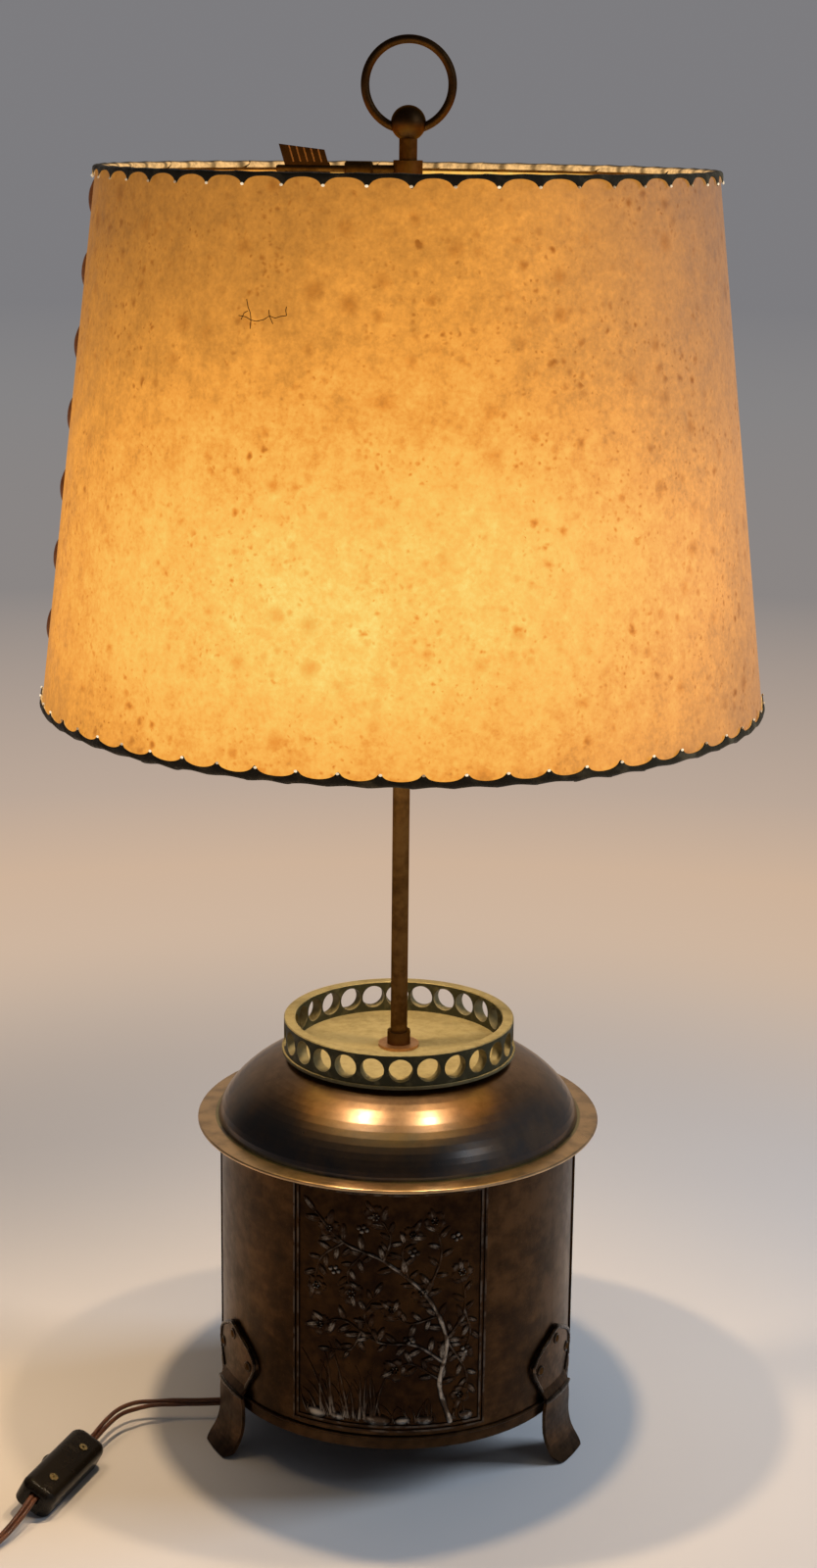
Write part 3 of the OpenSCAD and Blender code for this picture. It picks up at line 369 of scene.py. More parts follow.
# %% Twist of the flat cord and the gap between its strands
CROSS_X = -143 * MM
CROSS_REACH = 22 * MM
LEAD_TILT_Y = -45 * MM
LEAD_TILT_REACH = 28 * MM
TAIL_LEVEL_X = -225 * MM
TAIL_LEVEL_REACH = 17 * MM
GAP_X = -163 * MM
GAP_REACH = 19 * MM
GAP_WIDTH = 5 * MM


def near(value, middle, reach):
    """One at the middle, falling gently to nothing at the reach."""
    return 1 - eased(abs(value - middle) / reach)


def lead_twist(place):
    """The flat cord stands on edge by the lamp, turns level, then tilts with the switch."""
    level = math.pi / 2 * (1 + eased((CROSS_X - place.x) / CROSS_REACH + 0.5))
    return level - SWITCH_ROLL * eased((LEAD_TILT_Y - place.y) / LEAD_TILT_REACH)


def tail_twist(place):
    """The cord leaves the switch tilted and turns level on the way to the coil."""
    return -SWITCH_ROLL * eased((place.x - TAIL_LEVEL_X) / TAIL_LEVEL_REACH)


def lead_gap(place):
    """The strands part a little just before the switch."""
    return GAP_WIDTH * near(place.x, GAP_X, GAP_REACH)


ROUTE_STEPS = 5
END_STEPS = 6
lead_line = smooth_route(lead_route, ROUTE_STEPS)
tail_line = smooth_route(tail_route, ROUTE_STEPS)
end_line = smooth_route(end_route, END_STEPS)
cord_lead = sweep_strands("cord_to_switch", lead_line, lead_twist, lead_gap)
plug_line = tail_line + coil_route[1:] + end_line[1:]
cord_tail = sweep_strands("cord_to_plug", plug_line, tail_twist)
for piece, line in ((cord_lead, lead_line), (cord_tail, plug_line)):
    print(piece.name, "is", round(line_length(line) / MM, 1), "mm long")

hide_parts("cord_lead")
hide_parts("cord_tail", "cord_coil", "cord_end")
for piece in (cord_lead, cord_tail):
    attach(piece, "base")

# %% [markdown]
# ## Table and room
# The lamp stands on a pale table in front of a grey sweep of paper. A curved backdrop would hide the lamp
# when it is seen from behind, so the table is one wide plane that turns to the room's grey far away, where
# it meets a world of the same grey. The far part glows by itself, which keeps the horizon out of sight.
# Where that glow begins, nearest the lamp, it is warm: a painted pool of the bulbs' light on the table.
# Metal mirrors the room, so in reflections it is dark behind the camera, pale behind the lamp and cool at
# the right, where the daylight comes from.

# %% Pale table
TABLE_PALE = (0.60, 0.575, 0.565, 1)
TABLE_WORN = (0.56, 0.535, 0.53, 1)
ROOM_GREY = (0.206, 0.203, 0.214, 1)
TABLE_SIZE = 80
TABLE_NEAR = 0.35
TABLE_FAR = 1.05
SWEEP_END = 10.0
# The warm first tones are a painted pool of the bulbs' light on the far table; the later ones are the room's
# grey.
SWEEP_TONES_WITH_LAMPLIGHT = [(0.08, (0.62, 0.48, 0.37)), (0.125, (0.62, 0.45, 0.325)), (0.16, (0.50, 0.39, 0.315)),
               (0.30, (0.258, 0.237, 0.230)), (0.6, (0.238, 0.230, 0.232)), (1.0, ROOM_GREY[:3])]

deselect()
bpy.ops.mesh.primitive_plane_add(size=TABLE_SIZE)
table = bpy.context.object
table.name = "table_top"
material, tree, shader = new_material("pale_table")
where = add_node(tree, "ShaderNodeTexCoord").outputs["Object"]
reach = add_node(tree, "ShaderNodeVectorMath", {"operation": "LENGTH"}, Vector=where).outputs["Value"]
mottle = noise(tree, where, 3.0)
wire(tree, shader, Base_Color=blend_colours(tree, mottle, TABLE_PALE, TABLE_WORN), Roughness=0.6,
     Specular_IOR_Level=0.2)
sweep = colour_steps(tree, calc(tree, "DIVIDE", reach, SWEEP_END), SWEEP_TONES_WITH_LAMPLIGHT)
glow = add_node(tree, "ShaderNodeEmission", Color=sweep, Strength=1.0)
mixed = mix_shaders(tree, spread(tree, reach, TABLE_NEAR, TABLE_FAR), shader, glow)
wire(tree, tree.nodes["Material Output"], Surface=mixed.outputs["Shader"])
table.data.materials.append(material)
print("table:", table.name, "pale out to", TABLE_NEAR, "m")

# %% Grey room, and how metal mirrors it
ROOM_DARK = (0.035, 0.036, 0.04, 1)
ROOM_PALE = (0.40, 0.33, 0.27, 1)
ROOM_COOL = (0.17, 0.19, 0.22, 1)
LIGHT_BELOW = (0.03, 0.03, 0.035, 1)
LIGHT_ABOVE = (0.24, 0.25, 0.27, 1)
world = bpy.data.worlds.new("grey_room")
bpy.context.scene.world = world
world.use_nodes = True
tree = world.node_tree
tree.nodes.clear()
paths = add_node(tree, "ShaderNodeLightPath").outputs
where = add_node(tree, "ShaderNodeTexCoord").outputs["Object"]
heading = add_node(tree, "ShaderNodeSeparateXYZ", Vector=where).outputs
rearward = spread(tree, heading["Y"], 0.4, 0.9)
mirrored = blend_colours(tree, rearward, ROOM_DARK, ROOM_PALE)
mirrored = blend_colours(tree, spread(tree, heading["X"], 0.25, 0.8), mirrored, ROOM_COOL)
seen = calc(tree, "MAXIMUM", paths["Is Camera Ray"], paths["Is Transmission Ray"])
from_front = spread(tree, heading["Y"], -0.5, 0.6, 0.3, 1.0)
overhead = times(tree, spread(tree, heading["Z"], -0.1, 0.7), from_front)
lit = blend_colours(tree, overhead, LIGHT_BELOW, LIGHT_ABOVE)
room_light, room_mirrored, room_view = (
    add_node(tree, "ShaderNodeBackground", Color=colour, Strength=1.0)
    for colour in (lit, mirrored, ROOM_GREY))
reflected = mix_shaders(tree, paths["Is Glossy Ray"], room_light, room_mirrored)
mixed = mix_shaders(tree, seen, reflected, room_view)
add_node(tree, "ShaderNodeOutputWorld", Surface=mixed.outputs["Shader"])
bpy.context.scene.view_settings.view_transform = "Standard"
print("room grey:", ROOM_GREY[:3])

# %% [markdown]
# ## Light
# The lamp stands in dim daylight and in the light of its own two bulbs. A wide cool panel at the right is
# the daylight, and it is hidden from reflections. A small panel at the front right is what the dome
# mirrors. A narrow warm fill over the left of the table gives it the warm tone that it has there. The bulbs
# throw warm light down past the tray, so that the lid's brim casts the round shadow on the table. Two spot
# lamps a little below and outside the bulbs do that without flooding the inside of the shade. Two weaker
# spots, seen in reflections only, give the dome its two highlights where the photograph has them.

# %% Kinds of light
BULB_PLACE = Vector((73, -20, 516)) * MM
BULB_SOFT = 0.012
SPARKLE_PLACE = Vector((78, -65, 516)) * MM
SPARKLE_SOFT = 0.015
SPARKLE_WARM = (1.0, 0.80, 0.56)
SPARKLE_SHARE = 0.33
WARM = (1.0, 0.72, 0.43)
PANEL_COOL = (0.67, 0.82, 1.0)
WINDOW_COOL = (0.78, 0.89, 1.0)
BULB_CONE = math.radians(150)
FILL_CONE = math.radians(50)


def studio_panel(name, place, aim, size, power, colour):
    """A soft square light that looks at a point."""
    bpy.ops.object.light_add(type="AREA", location=place)
    panel = bpy.context.object
    panel.name = name
    panel.data.size = size
    panel.data.energy = power
    panel.data.color = colour
    panel.rotation_euler = (Vector(aim) - Vector(place)).to_track_quat("-Z", "Y").to_euler()
    return panel


def bulb_light(name, side, power):
    """Warm light from a bulb, downwards through the shade's lower opening."""
    bpy.ops.object.light_add(type="SPOT", location=(side * BULB_PLACE.x, BULB_PLACE.y, BULB_PLACE.z))
    lamp = bpy.context.object
    lamp.name = name
    lamp.data.energy = power
    lamp.data.color = WARM
    lamp.data.spot_size = BULB_CONE
    lamp.data.spot_blend = 0.25
    lamp.data.shadow_soft_size = BULB_SOFT
    return lamp


# %% The lights of the scene
warm_fill = studio_panel("warm_fill", place=(-0.48, -0.1, 0.95), aim=(-0.48, -0.1, 0), size=0.3, power=0.5,
                         colour=WARM)
warm_fill.data.spread = FILL_CONE
warm_fill.visible_camera = False
warm_fill.visible_glossy = False
panel_right = studio_panel("panel_right", place=(1.8, 0.35, 1.0), aim=(0, 0, 0.3), size=0.8, power=37,
                           colour=PANEL_COOL)
panel_right.visible_glossy = False
studio_panel("small_window", place=(1.3, -0.85, 1.45), aim=(0, 0, 0.2), size=0.5, power=1.2,
             colour=WINDOW_COOL)
for name, side, power in (("left", -1, 6.5), ("right", 1, 5)):
    bulb_light("bulb_light_" + name, side, power).visible_glossy = False
    sparkle = bulb_light("bulb_sparkle_" + name, side, SPARKLE_SHARE * power)
    sparkle.location = (side * SPARKLE_PLACE.x, SPARKLE_PLACE.y, SPARKLE_PLACE.z)
    sparkle.data.color = SPARKLE_WARM
    sparkle.data.shadow_soft_size = SPARKLE_SOFT
    sparkle.visible_diffuse = False
print("bulbs light from", round(BULB_PLACE.z / MM), "mm")

# %% [markdown]
# ## Aged metal
# Every metal on the lamp has the same kind of age: a brown or green tarnish in soft blotches, darker
# stains in them, and small bright specks where the tarnish is rubbed off. That is one node group, and each
# metal places it with its own colours. It puts out a colour, a roughness and a height for the bump.

# %% Group for aged metal
COLOUR = "NodeSocketColor"
NUMBER = "NodeSocketFloat"


def new_group(name, inputs, outputs):
    """An empty shader group with its input values and its output sockets."""
    tree = bpy.data.node_groups.new(name, "ShaderNodeTree")
    for label, kind, value in inputs:
        tree.interface.new_socket(label, in_out="INPUT", socket_type=kind).default_value = value
    for label, kind in outputs:
        tree.interface.new_socket(label, in_out="OUTPUT", socket_type=kind)
    return tree, tree.nodes.new("NodeGroupInput").outputs, tree.nodes.new("NodeGroupOutput").inputs


GREY = (0.5, 0.5, 0.5, 1)
BLOTCH_FINER = 5.3
SPECK_FINER = 31.0
STREAK_STRETCH = (30, 30, 130)
aged_metal, given, result = new_group(
    "aged_metal",
    [("Fresh", COLOUR, GREY), ("Dull", COLOUR, GREY), ("Dark", COLOUR, GREY), ("Scale", NUMBER, 30.0),
     ("Darkness", NUMBER, 0.4), ("Smooth", NUMBER, 0.25), ("Rough", NUMBER, 0.45)],
    [("Color", COLOUR), ("Roughness", NUMBER), ("Height", NUMBER)])
tree = aged_metal
where = object_place(tree)
broad = noise(tree, where, given["Scale"], 5.0)
blotch = noise(tree, where, times(tree, given["Scale"], BLOTCH_FINER), 4.0, 0.6)
speck = noise(tree, where, times(tree, given["Scale"], SPECK_FINER), 2.0)
streak = noise(tree, object_place(tree, STREAK_STRETCH), 1.0, 4.0, 0.6)
tone = calc(tree, "MULTIPLY_ADD", blotch, 0.45, times(tree, broad, 0.55))
base = blend_colours(tree, spread(tree, tone, 0.38, 0.62), given["Fresh"], given["Dull"])
stain = calc(tree, "MULTIPLY_ADD", streak, 0.3, times(tree, tone, 0.7))
edge = calc(tree, "SUBTRACT", 0.78, times(tree, given["Darkness"], 0.5))
stained = spread(tree, calc(tree, "SUBTRACT", stain, edge), -0.14, 0.14)
base = blend_colours(tree, stained, base, given["Dark"])
wear_and_reflection = times(tree, spread(tree, speck, 0.60, 0.74), 0.5)
base = blend_colours(tree, wear_and_reflection, base, given["Fresh"])
tree.links.new(base, result["Color"])
tree.links.new(spread(tree, tone, 0.3, 0.7, given["Smooth"], given["Rough"]), result["Roughness"])
tree.links.new(calc(tree, "MULTIPLY_ADD", blotch, 0.7, times(tree, speck, 0.3)), result["Height"])
print("group:", aged_metal.name)


# %% A metal from the group
def metal_finish(name, fresh, dull, dark, scale=30.0, darkness=0.4, smooth=0.25, rough=0.45, dent=0.12 * MM,
                 tint=(1, 1, 1)):
    """A material made from the aged metal group."""
    material, tree, shader = new_material(name)
    age = place_group(tree, aged_metal, Fresh=(*fresh, 1), Dull=(*dull, 1), Dark=(*dark, 1), Scale=scale,
                      Darkness=darkness, Smooth=smooth, Rough=rough)
    wire(tree, shader, Base_Color=age["Color"], Roughness=age["Roughness"], Metallic=1.0,
         Specular_Tint=(*tint, 1), Normal=bump(tree, age["Height"], dent))
    return material


# %% Metals of the lamp
BROWN_TINT = (0.60, 0.48, 0.38)
RED_TINT = (1.0, 0.95, 0.9)
LID_TINT = (0.8, 0.75, 0.7)
canister_copper = metal_finish("canister_copper", (0.075, 0.040, 0.018), (0.046, 0.024, 0.010),
                               (0.022, 0.013, 0.008), scale=22, darkness=0.45, smooth=0.28, rough=0.42,
                               tint=RED_TINT)
foot_copper = metal_finish("foot_copper", (0.105, 0.057, 0.028), (0.062, 0.033, 0.017), (0.03, 0.018, 0.011),
                           scale=40, darkness=0.5, smooth=0.30, rough=0.46, tint=RED_TINT)
rod_brass = metal_finish("rod_brass", (0.165, 0.088, 0.028), (0.112, 0.056, 0.017), (0.055, 0.028, 0.010),
                         scale=45, darkness=0.35, smooth=0.42, rough=0.58, dent=0.05 * MM, tint=BROWN_TINT)
dark_brass = metal_finish("dark_brass", (0.105, 0.057, 0.024), (0.082, 0.042, 0.017), (0.045, 0.026, 0.013),
                          scale=26, darkness=0.45, smooth=0.38, rough=0.5, dent=0.02 * MM, tint=BROWN_TINT)
rim_copper = metal_finish("rim_copper", (0.10, 0.075, 0.055), (0.04, 0.027, 0.018), (0.02, 0.013, 0.009),
                          scale=60, darkness=0.5, smooth=0.22, rough=0.36, dent=0.03 * MM)
lid_copper = metal_finish("lid_copper", (0.25, 0.15, 0.08), (0.19, 0.112, 0.058), (0.11, 0.07, 0.042),
                          scale=17, darkness=0.40, smooth=0.27, rough=0.31, dent=0.01 * MM, tint=LID_TINT)
washer_copper = metal_finish("washer_copper", (0.66, 0.38, 0.20), (0.52, 0.28, 0.14), (0.28, 0.15, 0.08),
                             scale=60, darkness=0.25, smooth=0.3, rough=0.5)
fitting_brass = metal_finish("fitting_brass", (0.85, 0.65, 0.30), (0.70, 0.50, 0.20), (0.36, 0.24, 0.09),
                             scale=70, darkness=0.25, smooth=0.18, rough=0.34)
plain_steel = metal_finish("plain_steel", (0.60, 0.60, 0.58), (0.48, 0.48, 0.46), (0.25, 0.24, 0.22),
                           scale=80, darkness=0.25, smooth=0.25, rough=0.4)
bulb_metal = metal_finish("bulb_metal", (0.80, 0.80, 0.78), (0.70, 0.70, 0.68), (0.45, 0.44, 0.42),
                          scale=90, darkness=0.15, smooth=0.2, rough=0.32)

# %% Dress the metal pieces
def dress(material, *names):
    """Gives CAD nodes a finish in place of the plain one that they came with."""
    for name in names:
        for slot in nodes[name].material_slots:
            slot.material = material


dress(canister_copper, "canister_wall", "canister_floor", "base_hoop")
dress(foot_copper, "foot_left", "foot_right", "foot_back")
dress(lid_copper, "lid")
dress(washer_copper, "tray_washer")
dress(rod_brass, "rod", "slide_collar", "key_screw", "spider_hub", "spider", "top_wire", "bottom_wire")
dress(dark_brass, "foot_rivets", "tray_clamp", "finial_ball", "finial_ring", "key_vanes")
dress(fitting_brass, "cluster_body", "socket_caps", "socket_shells", "switch_rivets", "switch_contacts",
      "plug_blades")
dress(plain_steel, "lock_nuts", "lock_washers", "switch_spindle")
dress(bulb_metal, "bulb_bases")
METAL_NAMES = ("copper", "brass", "steel", "metal")
print("metals:", [m.name for m in bpy.data.materials if m.name.endswith(METAL_NAMES)])

# %% [markdown]
# ## Brim of the lid
# The brim is brighter than the dome: partly rubbed copper, partly a painted reflection. Low down the dome
# is darkened to a mottled grey, painted shade for the dark room that it mirrors. In the corner where the
# two meet, a thin green-gold line is a painted highlight. These could be painted on a map by hand, but all
# three follow the distance from the lamp's axis, so they are laid over the dome's copper by that distance.
# A thin clear coat gives the lid its soft gloss.

# %% Group for the distance from the axis
from_axis, _, result = new_group("from_axis", [], [("Radius", NUMBER)])
where = add_node(from_axis, "ShaderNodeSeparateXYZ", Vector=object_place(from_axis)).outputs
across = times(from_axis, where["Y"], where["Y"])
square = calc(from_axis, "MULTIPLY_ADD", where["X"], where["X"], across)
from_axis.links.new(calc(from_axis, "SQRT", square), result["Radius"])
print("group:", from_axis.name)

# %% Painted shade low on the dome, a brighter brim and a painted highlight between them
DOME_SHADE_FROM = 84 * MM
DOME_SHADE_FULL = 104 * MM
DOME_FOOT = 112.4 * MM
LINE_HALF = 1.5 * MM
DOME_LOW_SHADE = (0.075, 0.073, 0.076, 1)
BRIM_WEAR_AND_REFLECTION = (0.72, 0.49, 0.26, 1)
CORNER_HIGHLIGHT = (0.40, 0.36, 0.15, 1)

tree, shader = shader_of(lid_copper)
radius = place_group(tree, from_axis)["Radius"]
# Painted shade: low on the dome the copper turns a mottled grey, where it mirrors the dark room.
low_shade = times(tree, spread(tree, radius, DOME_SHADE_FROM, DOME_SHADE_FULL),
              spread(tree, noise(tree, object_place(tree), 26.0, 5.0), 0.36, 0.58, 0.35, 0.9))
colour = blend_colours(tree, low_shade, base_colour(shader), DOME_LOW_SHADE)
# The brim is lighter than the dome: partly rubbed copper, partly a painted reflection.
uneven = spread(tree, noise(tree, object_place(tree), 60.0), 0.3, 0.6, 0.5, 0.95)
wear_and_reflection = times(tree, spread(tree, radius, DOME_FOOT, DOME_FOOT + LINE_HALF), uneven)
colour = blend_colours(tree, wear_and_reflection, colour, BRIM_WEAR_AND_REFLECTION)
# Painted highlight: a thin green-gold line along the corner where the dome meets the brim.
off_line = calc(tree, "ABSOLUTE", calc(tree, "SUBTRACT", radius, DOME_FOOT))
line = times(tree, spread(tree, off_line, 0.0, LINE_HALF, 0.8, 0.0),
             spread(tree, noise(tree, object_place(tree), 35.0), 0.35, 0.55))
wire(tree, shader, Base_Color=blend_colours(tree, line, colour, CORNER_HIGHLIGHT), Coat_Weight=0.35,
     Coat_Roughness=0.14)
print("brim rubbed from", round(DOME_FOOT / MM, 1), "mm outwards")

# %% [markdown]
# ## Gallery
# The pierced ring round the tray is yellow brass. Its upright faces are painted green-black in patches, as
# painted shade, while its top, its edges and the insides of its holes stay bright. The face's own direction
# tells the two apart: where it points straight out from or in towards the rod, the painted shade lies. The
# tray's floor has the same brass with less of that shade.

# %% Group for the direction of a face
outward, _, result = new_group("outward", [], [("Facing", NUMBER)])
coords = add_node(outward, "ShaderNodeTexCoord").outputs
flat = add_node(outward, "ShaderNodeVectorMath", {"operation": "MULTIPLY"}, Vector=coords["Object"])
flat.inputs[1].default_value = (1, 1, 0)
radial = add_node(outward, "ShaderNodeVectorMath", {"operation": "NORMALIZE"}, Vector=flat.outputs["Vector"])
facing = add_node(outward, "ShaderNodeVectorMath", {"operation": "DOT_PRODUCT"}, Vector=coords["Normal"])
outward.links.new(radial.outputs["Vector"], facing.inputs[1])
outward.links.new(facing.outputs["Value"], result["Facing"])
print("group:", outward.name)

# %% Finishes of the ring and the tray
GALLERY_BRASS = ((0.45, 0.385, 0.20), (0.36, 0.30, 0.148), (0.21, 0.172, 0.08))
UPRIGHT_SHADE_COLOUR = (0.035, 0.035, 0.018, 1)


def gallery_finish(name, shine, metallic, upright_shade):
    """Yellow brass, with painted shade on the faces that look towards or away from the rod."""
    brasses = [Vector(brass) * shine for brass in GALLERY_BRASS]
    material = metal_finish(name, *brasses, scale=34, darkness=0.32, smooth=0.52, rough=0.72)
    tree, shader = shader_of(material)
    facing = place_group(tree, outward)["Facing"]
    # Painted shade on the upright faces, in patches.
    upright = spread(tree, calc(tree, "ABSOLUTE", facing), 0.72, 0.9)
    patchy = spread(tree, noise(tree, object_place(tree), 160.0, 4.0), 0.28, 0.5, 0.72, 1.0)
    dark = times(tree, times(tree, upright, patchy), upright_shade)
    colour = blend_colours(tree, dark, base_colour(shader), UPRIGHT_SHADE_COLOUR)
    wire(tree, shader, Base_Color=colour, Metallic=metallic)
    return material


dress(gallery_finish("gallery_brass", shine=0.48, metallic=0.6, upright_shade=1.0), "gallery_ring")
dress(gallery_finish("tray_brass", shine=0.47, metallic=0.4, upright_shade=0.5), "gallery_floor")
print("gallery finished in yellow brass and tarnish")

# %% [markdown]
# ## Moulded parts, cord, porcelain and glass
# The switch and the plug are black moulded plastic, scuffed paler in places. The flex is brown rubber and
# the sockets' cores are porcelain. One finish does for all three: a colour with some unevenness, a
# roughness that goes with it and a fine bump. The bulbs glow by themselves, and let the light of the spot
# lamps in the scene pass.

# %% Plastic, rubber and porcelain
def moulded_finish(name, dark, pale, scuff, scale, smooth, rough, dent):
    """A moulded surface whose scuffs are paler and rougher than the rest."""
    material, tree, shader = new_material(name)
    where = object_place(tree)
    cloud = noise(tree, where, scale, 5.0, 0.6)
    fine = noise(tree, where, scale * 14, 3.0)
    uneven = calc(tree, "MULTIPLY_ADD", fine, 0.35, times(tree, cloud, 0.65))
    worn = spread(tree, uneven, scuff, scuff + 0.2)
    wire(tree, shader, Base_Color=blend_colours(tree, worn, (*dark, 1), (*pale, 1)),
         Roughness=spread(tree, worn, 0, 1, smooth, rough), Normal=bump(tree, fine, dent))
    return material


black_plastic = moulded_finish("black_plastic", (0.008, 0.006, 0.004), (0.024, 0.019, 0.012), scuff=0.5,
                               scale=38, smooth=0.27, rough=0.48, dent=0.015 * MM)
wire(*shader_of(black_plastic), Specular_IOR_Level=0.2)
brown_rubber = moulded_finish("brown_rubber", (0.062, 0.021, 0.010), (0.115, 0.045, 0.023), scuff=0.42,
                              scale=120, smooth=0.38, rough=0.6, dent=0.03 * MM)
porcelain = moulded_finish("porcelain", (0.78, 0.75, 0.69), (0.85, 0.83, 0.78), scuff=0.4, scale=60,
                           smooth=0.15, rough=0.3, dent=0.01 * MM)
dress(black_plastic, "switch_base", "switch_cover", "switch_wheel", "plug_body", "pipe_bushing")
dress(brown_rubber, "inner_lead", "socket_leads")
dress(porcelain, "socket_cores")
for piece in (cord_lead, cord_tail):
    piece.data.materials.append(brown_rubber)
print("moulded finishes:", black_plastic.name, brown_rubber.name, porcelain.name)

# %% Lit glass of the bulbs
GLASS = (0.9, 0.85, 0.75, 1)
GLASS_DIM = (1.0, 0.72, 0.38, 1)
GLASS_BRIGHT = (1.0, 0.84, 0.55, 1)
material, tree, shader = new_material("lit_glass")
frost = noise(tree, object_place(tree), 260.0, 3.0)
wire(tree, shader, Base_Color=GLASS, Roughness=0.35, Emission_Strength=2.2,
     Emission_Color=blend_colours(tree, frost, GLASS_DIM, GLASS_BRIGHT))
shadow = add_node(tree, "ShaderNodeLightPath").outputs["Is Shadow Ray"]
mixed = mix_shaders(tree, shadow, shader, add_node(tree, "ShaderNodeBsdfTransparent"))
wire(tree, tree.nodes["Material Output"], Surface=mixed.outputs["Shader"])
dress(material, "bulb_left", "bulb_right")
print("bulbs:", material.name)

# %% [markdown]
# ## Parchment
# The shade is oiled parchment: amber, cloudy, with brown freckles and a few old stains. Lit from inside it
# glows most where the bulbs stand close behind it. A translucent shader would need strong bulbs and many
# samples, so the glow is an emission whose strength falls with the distance to one spot between the bulbs
# and a weak one under the spider. The back glows as the front does. Freckles and stains let less light
# through, so they dim the glow before it gets its colour.

# %% Glow of the bulbs through the shade
bulb_glow, given, result = new_group("bulb_glow", [("Power", NUMBER, 1.0)], [("Glow", NUMBER)])
GLOW_SPOTS = (((-6, -52, 538), 0.272), ((20, -77, 741), 0.018))
GLOW_REACH = 198 * MM
parts = add_node(bulb_glow, "ShaderNodeSeparateXYZ", Vector=object_place(bulb_glow)).outputs
to_front = times(bulb_glow, calc(bulb_glow, "ABSOLUTE", parts["Y"]), -1)
where = add_node(bulb_glow, "ShaderNodeCombineXYZ", X=parts["X"], Y=to_front, Z=parts["Z"]).outputs["Vector"]
total = 0.0
for place, share in GLOW_SPOTS:
    nearness = calc(bulb_glow, "DIVIDE", GLOW_REACH, distance_to(bulb_glow, where, place))
    lit = times(bulb_glow, calc(bulb_glow, "POWER", nearness, given["Power"]), share)
    total = calc(bulb_glow, "ADD", lit, total)
bulb_glow.links.new(total, result["Glow"])
print("spots of the glow:", len(GLOW_SPOTS))

# %% Clouds, grain and freckles of the parchment
RIPPLE = (0.005, 0.005, 0.005)
material, tree, shader = new_material("oiled_parchment")
where = object_place(tree)
cloud = noise(tree, where, 11.0, 4.0)
mottle = noise(tree, where, 60.0, 5.0, 0.62)
fleck = noise(tree, where, 170.0, 3.0, 0.6)
grain = noise(tree, where, 430.0, 3.0, 0.6)
fibre = noise(tree, object_place(tree, (1, 1, 0.45)), 900.0, 2.0)
gathered = spread(tree, noise(tree, where, 24.0, 2.0), 0.40, 0.62, 0.25, 1.0)
ripple = add_node(tree, "ShaderNodeTexNoise", Vector=where, Scale=170.0, Detail=2.0).outputs["Color"]
warped = add_node(tree, "ShaderNodeVectorMath", {"operation": "MULTIPLY_ADD"})
for socket, value in zip(warped.inputs, (ripple, RIPPLE, where)):
    plug_in(tree, socket, value)


def freckles(scale, biggest):
    """Round freckles of many sizes, about the points of a Voronoi pattern."""
    cells = add_node(tree, "ShaderNodeTexVoronoi", Vector=warped.outputs["Vector"], Scale=scale)
    chance = add_node(tree, "ShaderNodeSeparateColor", Color=cells.outputs["Color"]).outputs["Red"]
    size = calc(tree, "MULTIPLY_ADD", calc(tree, "POWER", chance, 1.8), biggest, 0.01)
    return spread(tree, cells.outputs["Distance"], 0.0, size, 1.0, 0.0)


dots = freckles(scale=300.0, biggest=0.62)
freckle = freckles(scale=130.0, biggest=0.55)
blot = freckles(scale=55.0, biggest=0.48)
uneven = calc(tree, "MULTIPLY_ADD", cloud, 0.22, times(tree, mottle, 0.3))
uneven = calc(tree, "MULTIPLY_ADD", fleck, 0.24, calc(tree, "MULTIPLY_ADD", grain, 0.24, uneven))
spots = times(tree, calc(tree, "MAXIMUM", times(tree, dots, 0.75), freckle), gathered)
spots = calc(tree, "MAXIMUM", spots, times(tree, blot, 0.6))
spots = times(tree, spots, spread(tree, mottle, 0.35, 0.65, 0.5, 1.0))

# %% Old stains in the parchment
STAINS = (((14, -180, 742), 5.5, 1.5), ((54, -169, 764), 3.0, 1.6), ((23, -185, 690), 9, 0.8),
          ((-10, -189, 665), 9, 0.7), ((73, -170, 705), 10, 0.7), ((-60, -198, 523), 6, 0.9))
for place, width, depth in STAINS:
    reach = width * MM
    frayed = spread(tree, freckle, 0, 1, 0.4 * reach, -0.4 * reach)
    ragged = calc(tree, "ADD", distance_to(tree, where, place), frayed)
    stain = times(tree, spread(tree, ragged, 0.2 * reach, reach, depth, 0.0), mottle)
    spots = calc(tree, "MAXIMUM", spots, stain)
print("stains:", len(STAINS))

# %% Light through the parchment
INSIDE_GLOW = 2.2
SKIN_DARK = (0.062, 0.058, 0.056, 1)
SKIN_PALE = (0.09, 0.084, 0.078, 1)
SPOT_BROWN = (0.04, 0.02, 0.01, 1)
light = place_group(tree, bulb_glow, Power=3.1)["Glow"]
through = times(tree, light, spread(tree, uneven, 0.34, 0.66, 0.62, 1.36, "LINEAR"))
facing = place_group(tree, outward)["Facing"]
through = times(tree, through, spread(tree, facing, -0.5, 0.5, INSIDE_GLOW, 1.0))
through = times(tree, through, spread(tree, spots, 0.0, 1.0, 1.0, 0.5, "LINEAR"))
PARCHMENT_GLOW = [(0.0, (0.03, 0.008, 0.001)), (0.186, (0.48, 0.183, 0.020)), (0.277, (0.69, 0.267, 0.031)),
                  (0.35, (0.89, 0.35, 0.043)), (0.445, (0.975, 0.463, 0.075)), (0.60, (0.982, 0.584, 0.116)),
                  (0.80, (1.0, 0.76, 0.20))]
FRECKLE_BROWN = (0.88, 0.68, 0.50, 1)
shining = colour_steps(tree, through, PARCHMENT_GLOW)
skin = blend_colours(tree, uneven, SKIN_DARK, SKIN_PALE)
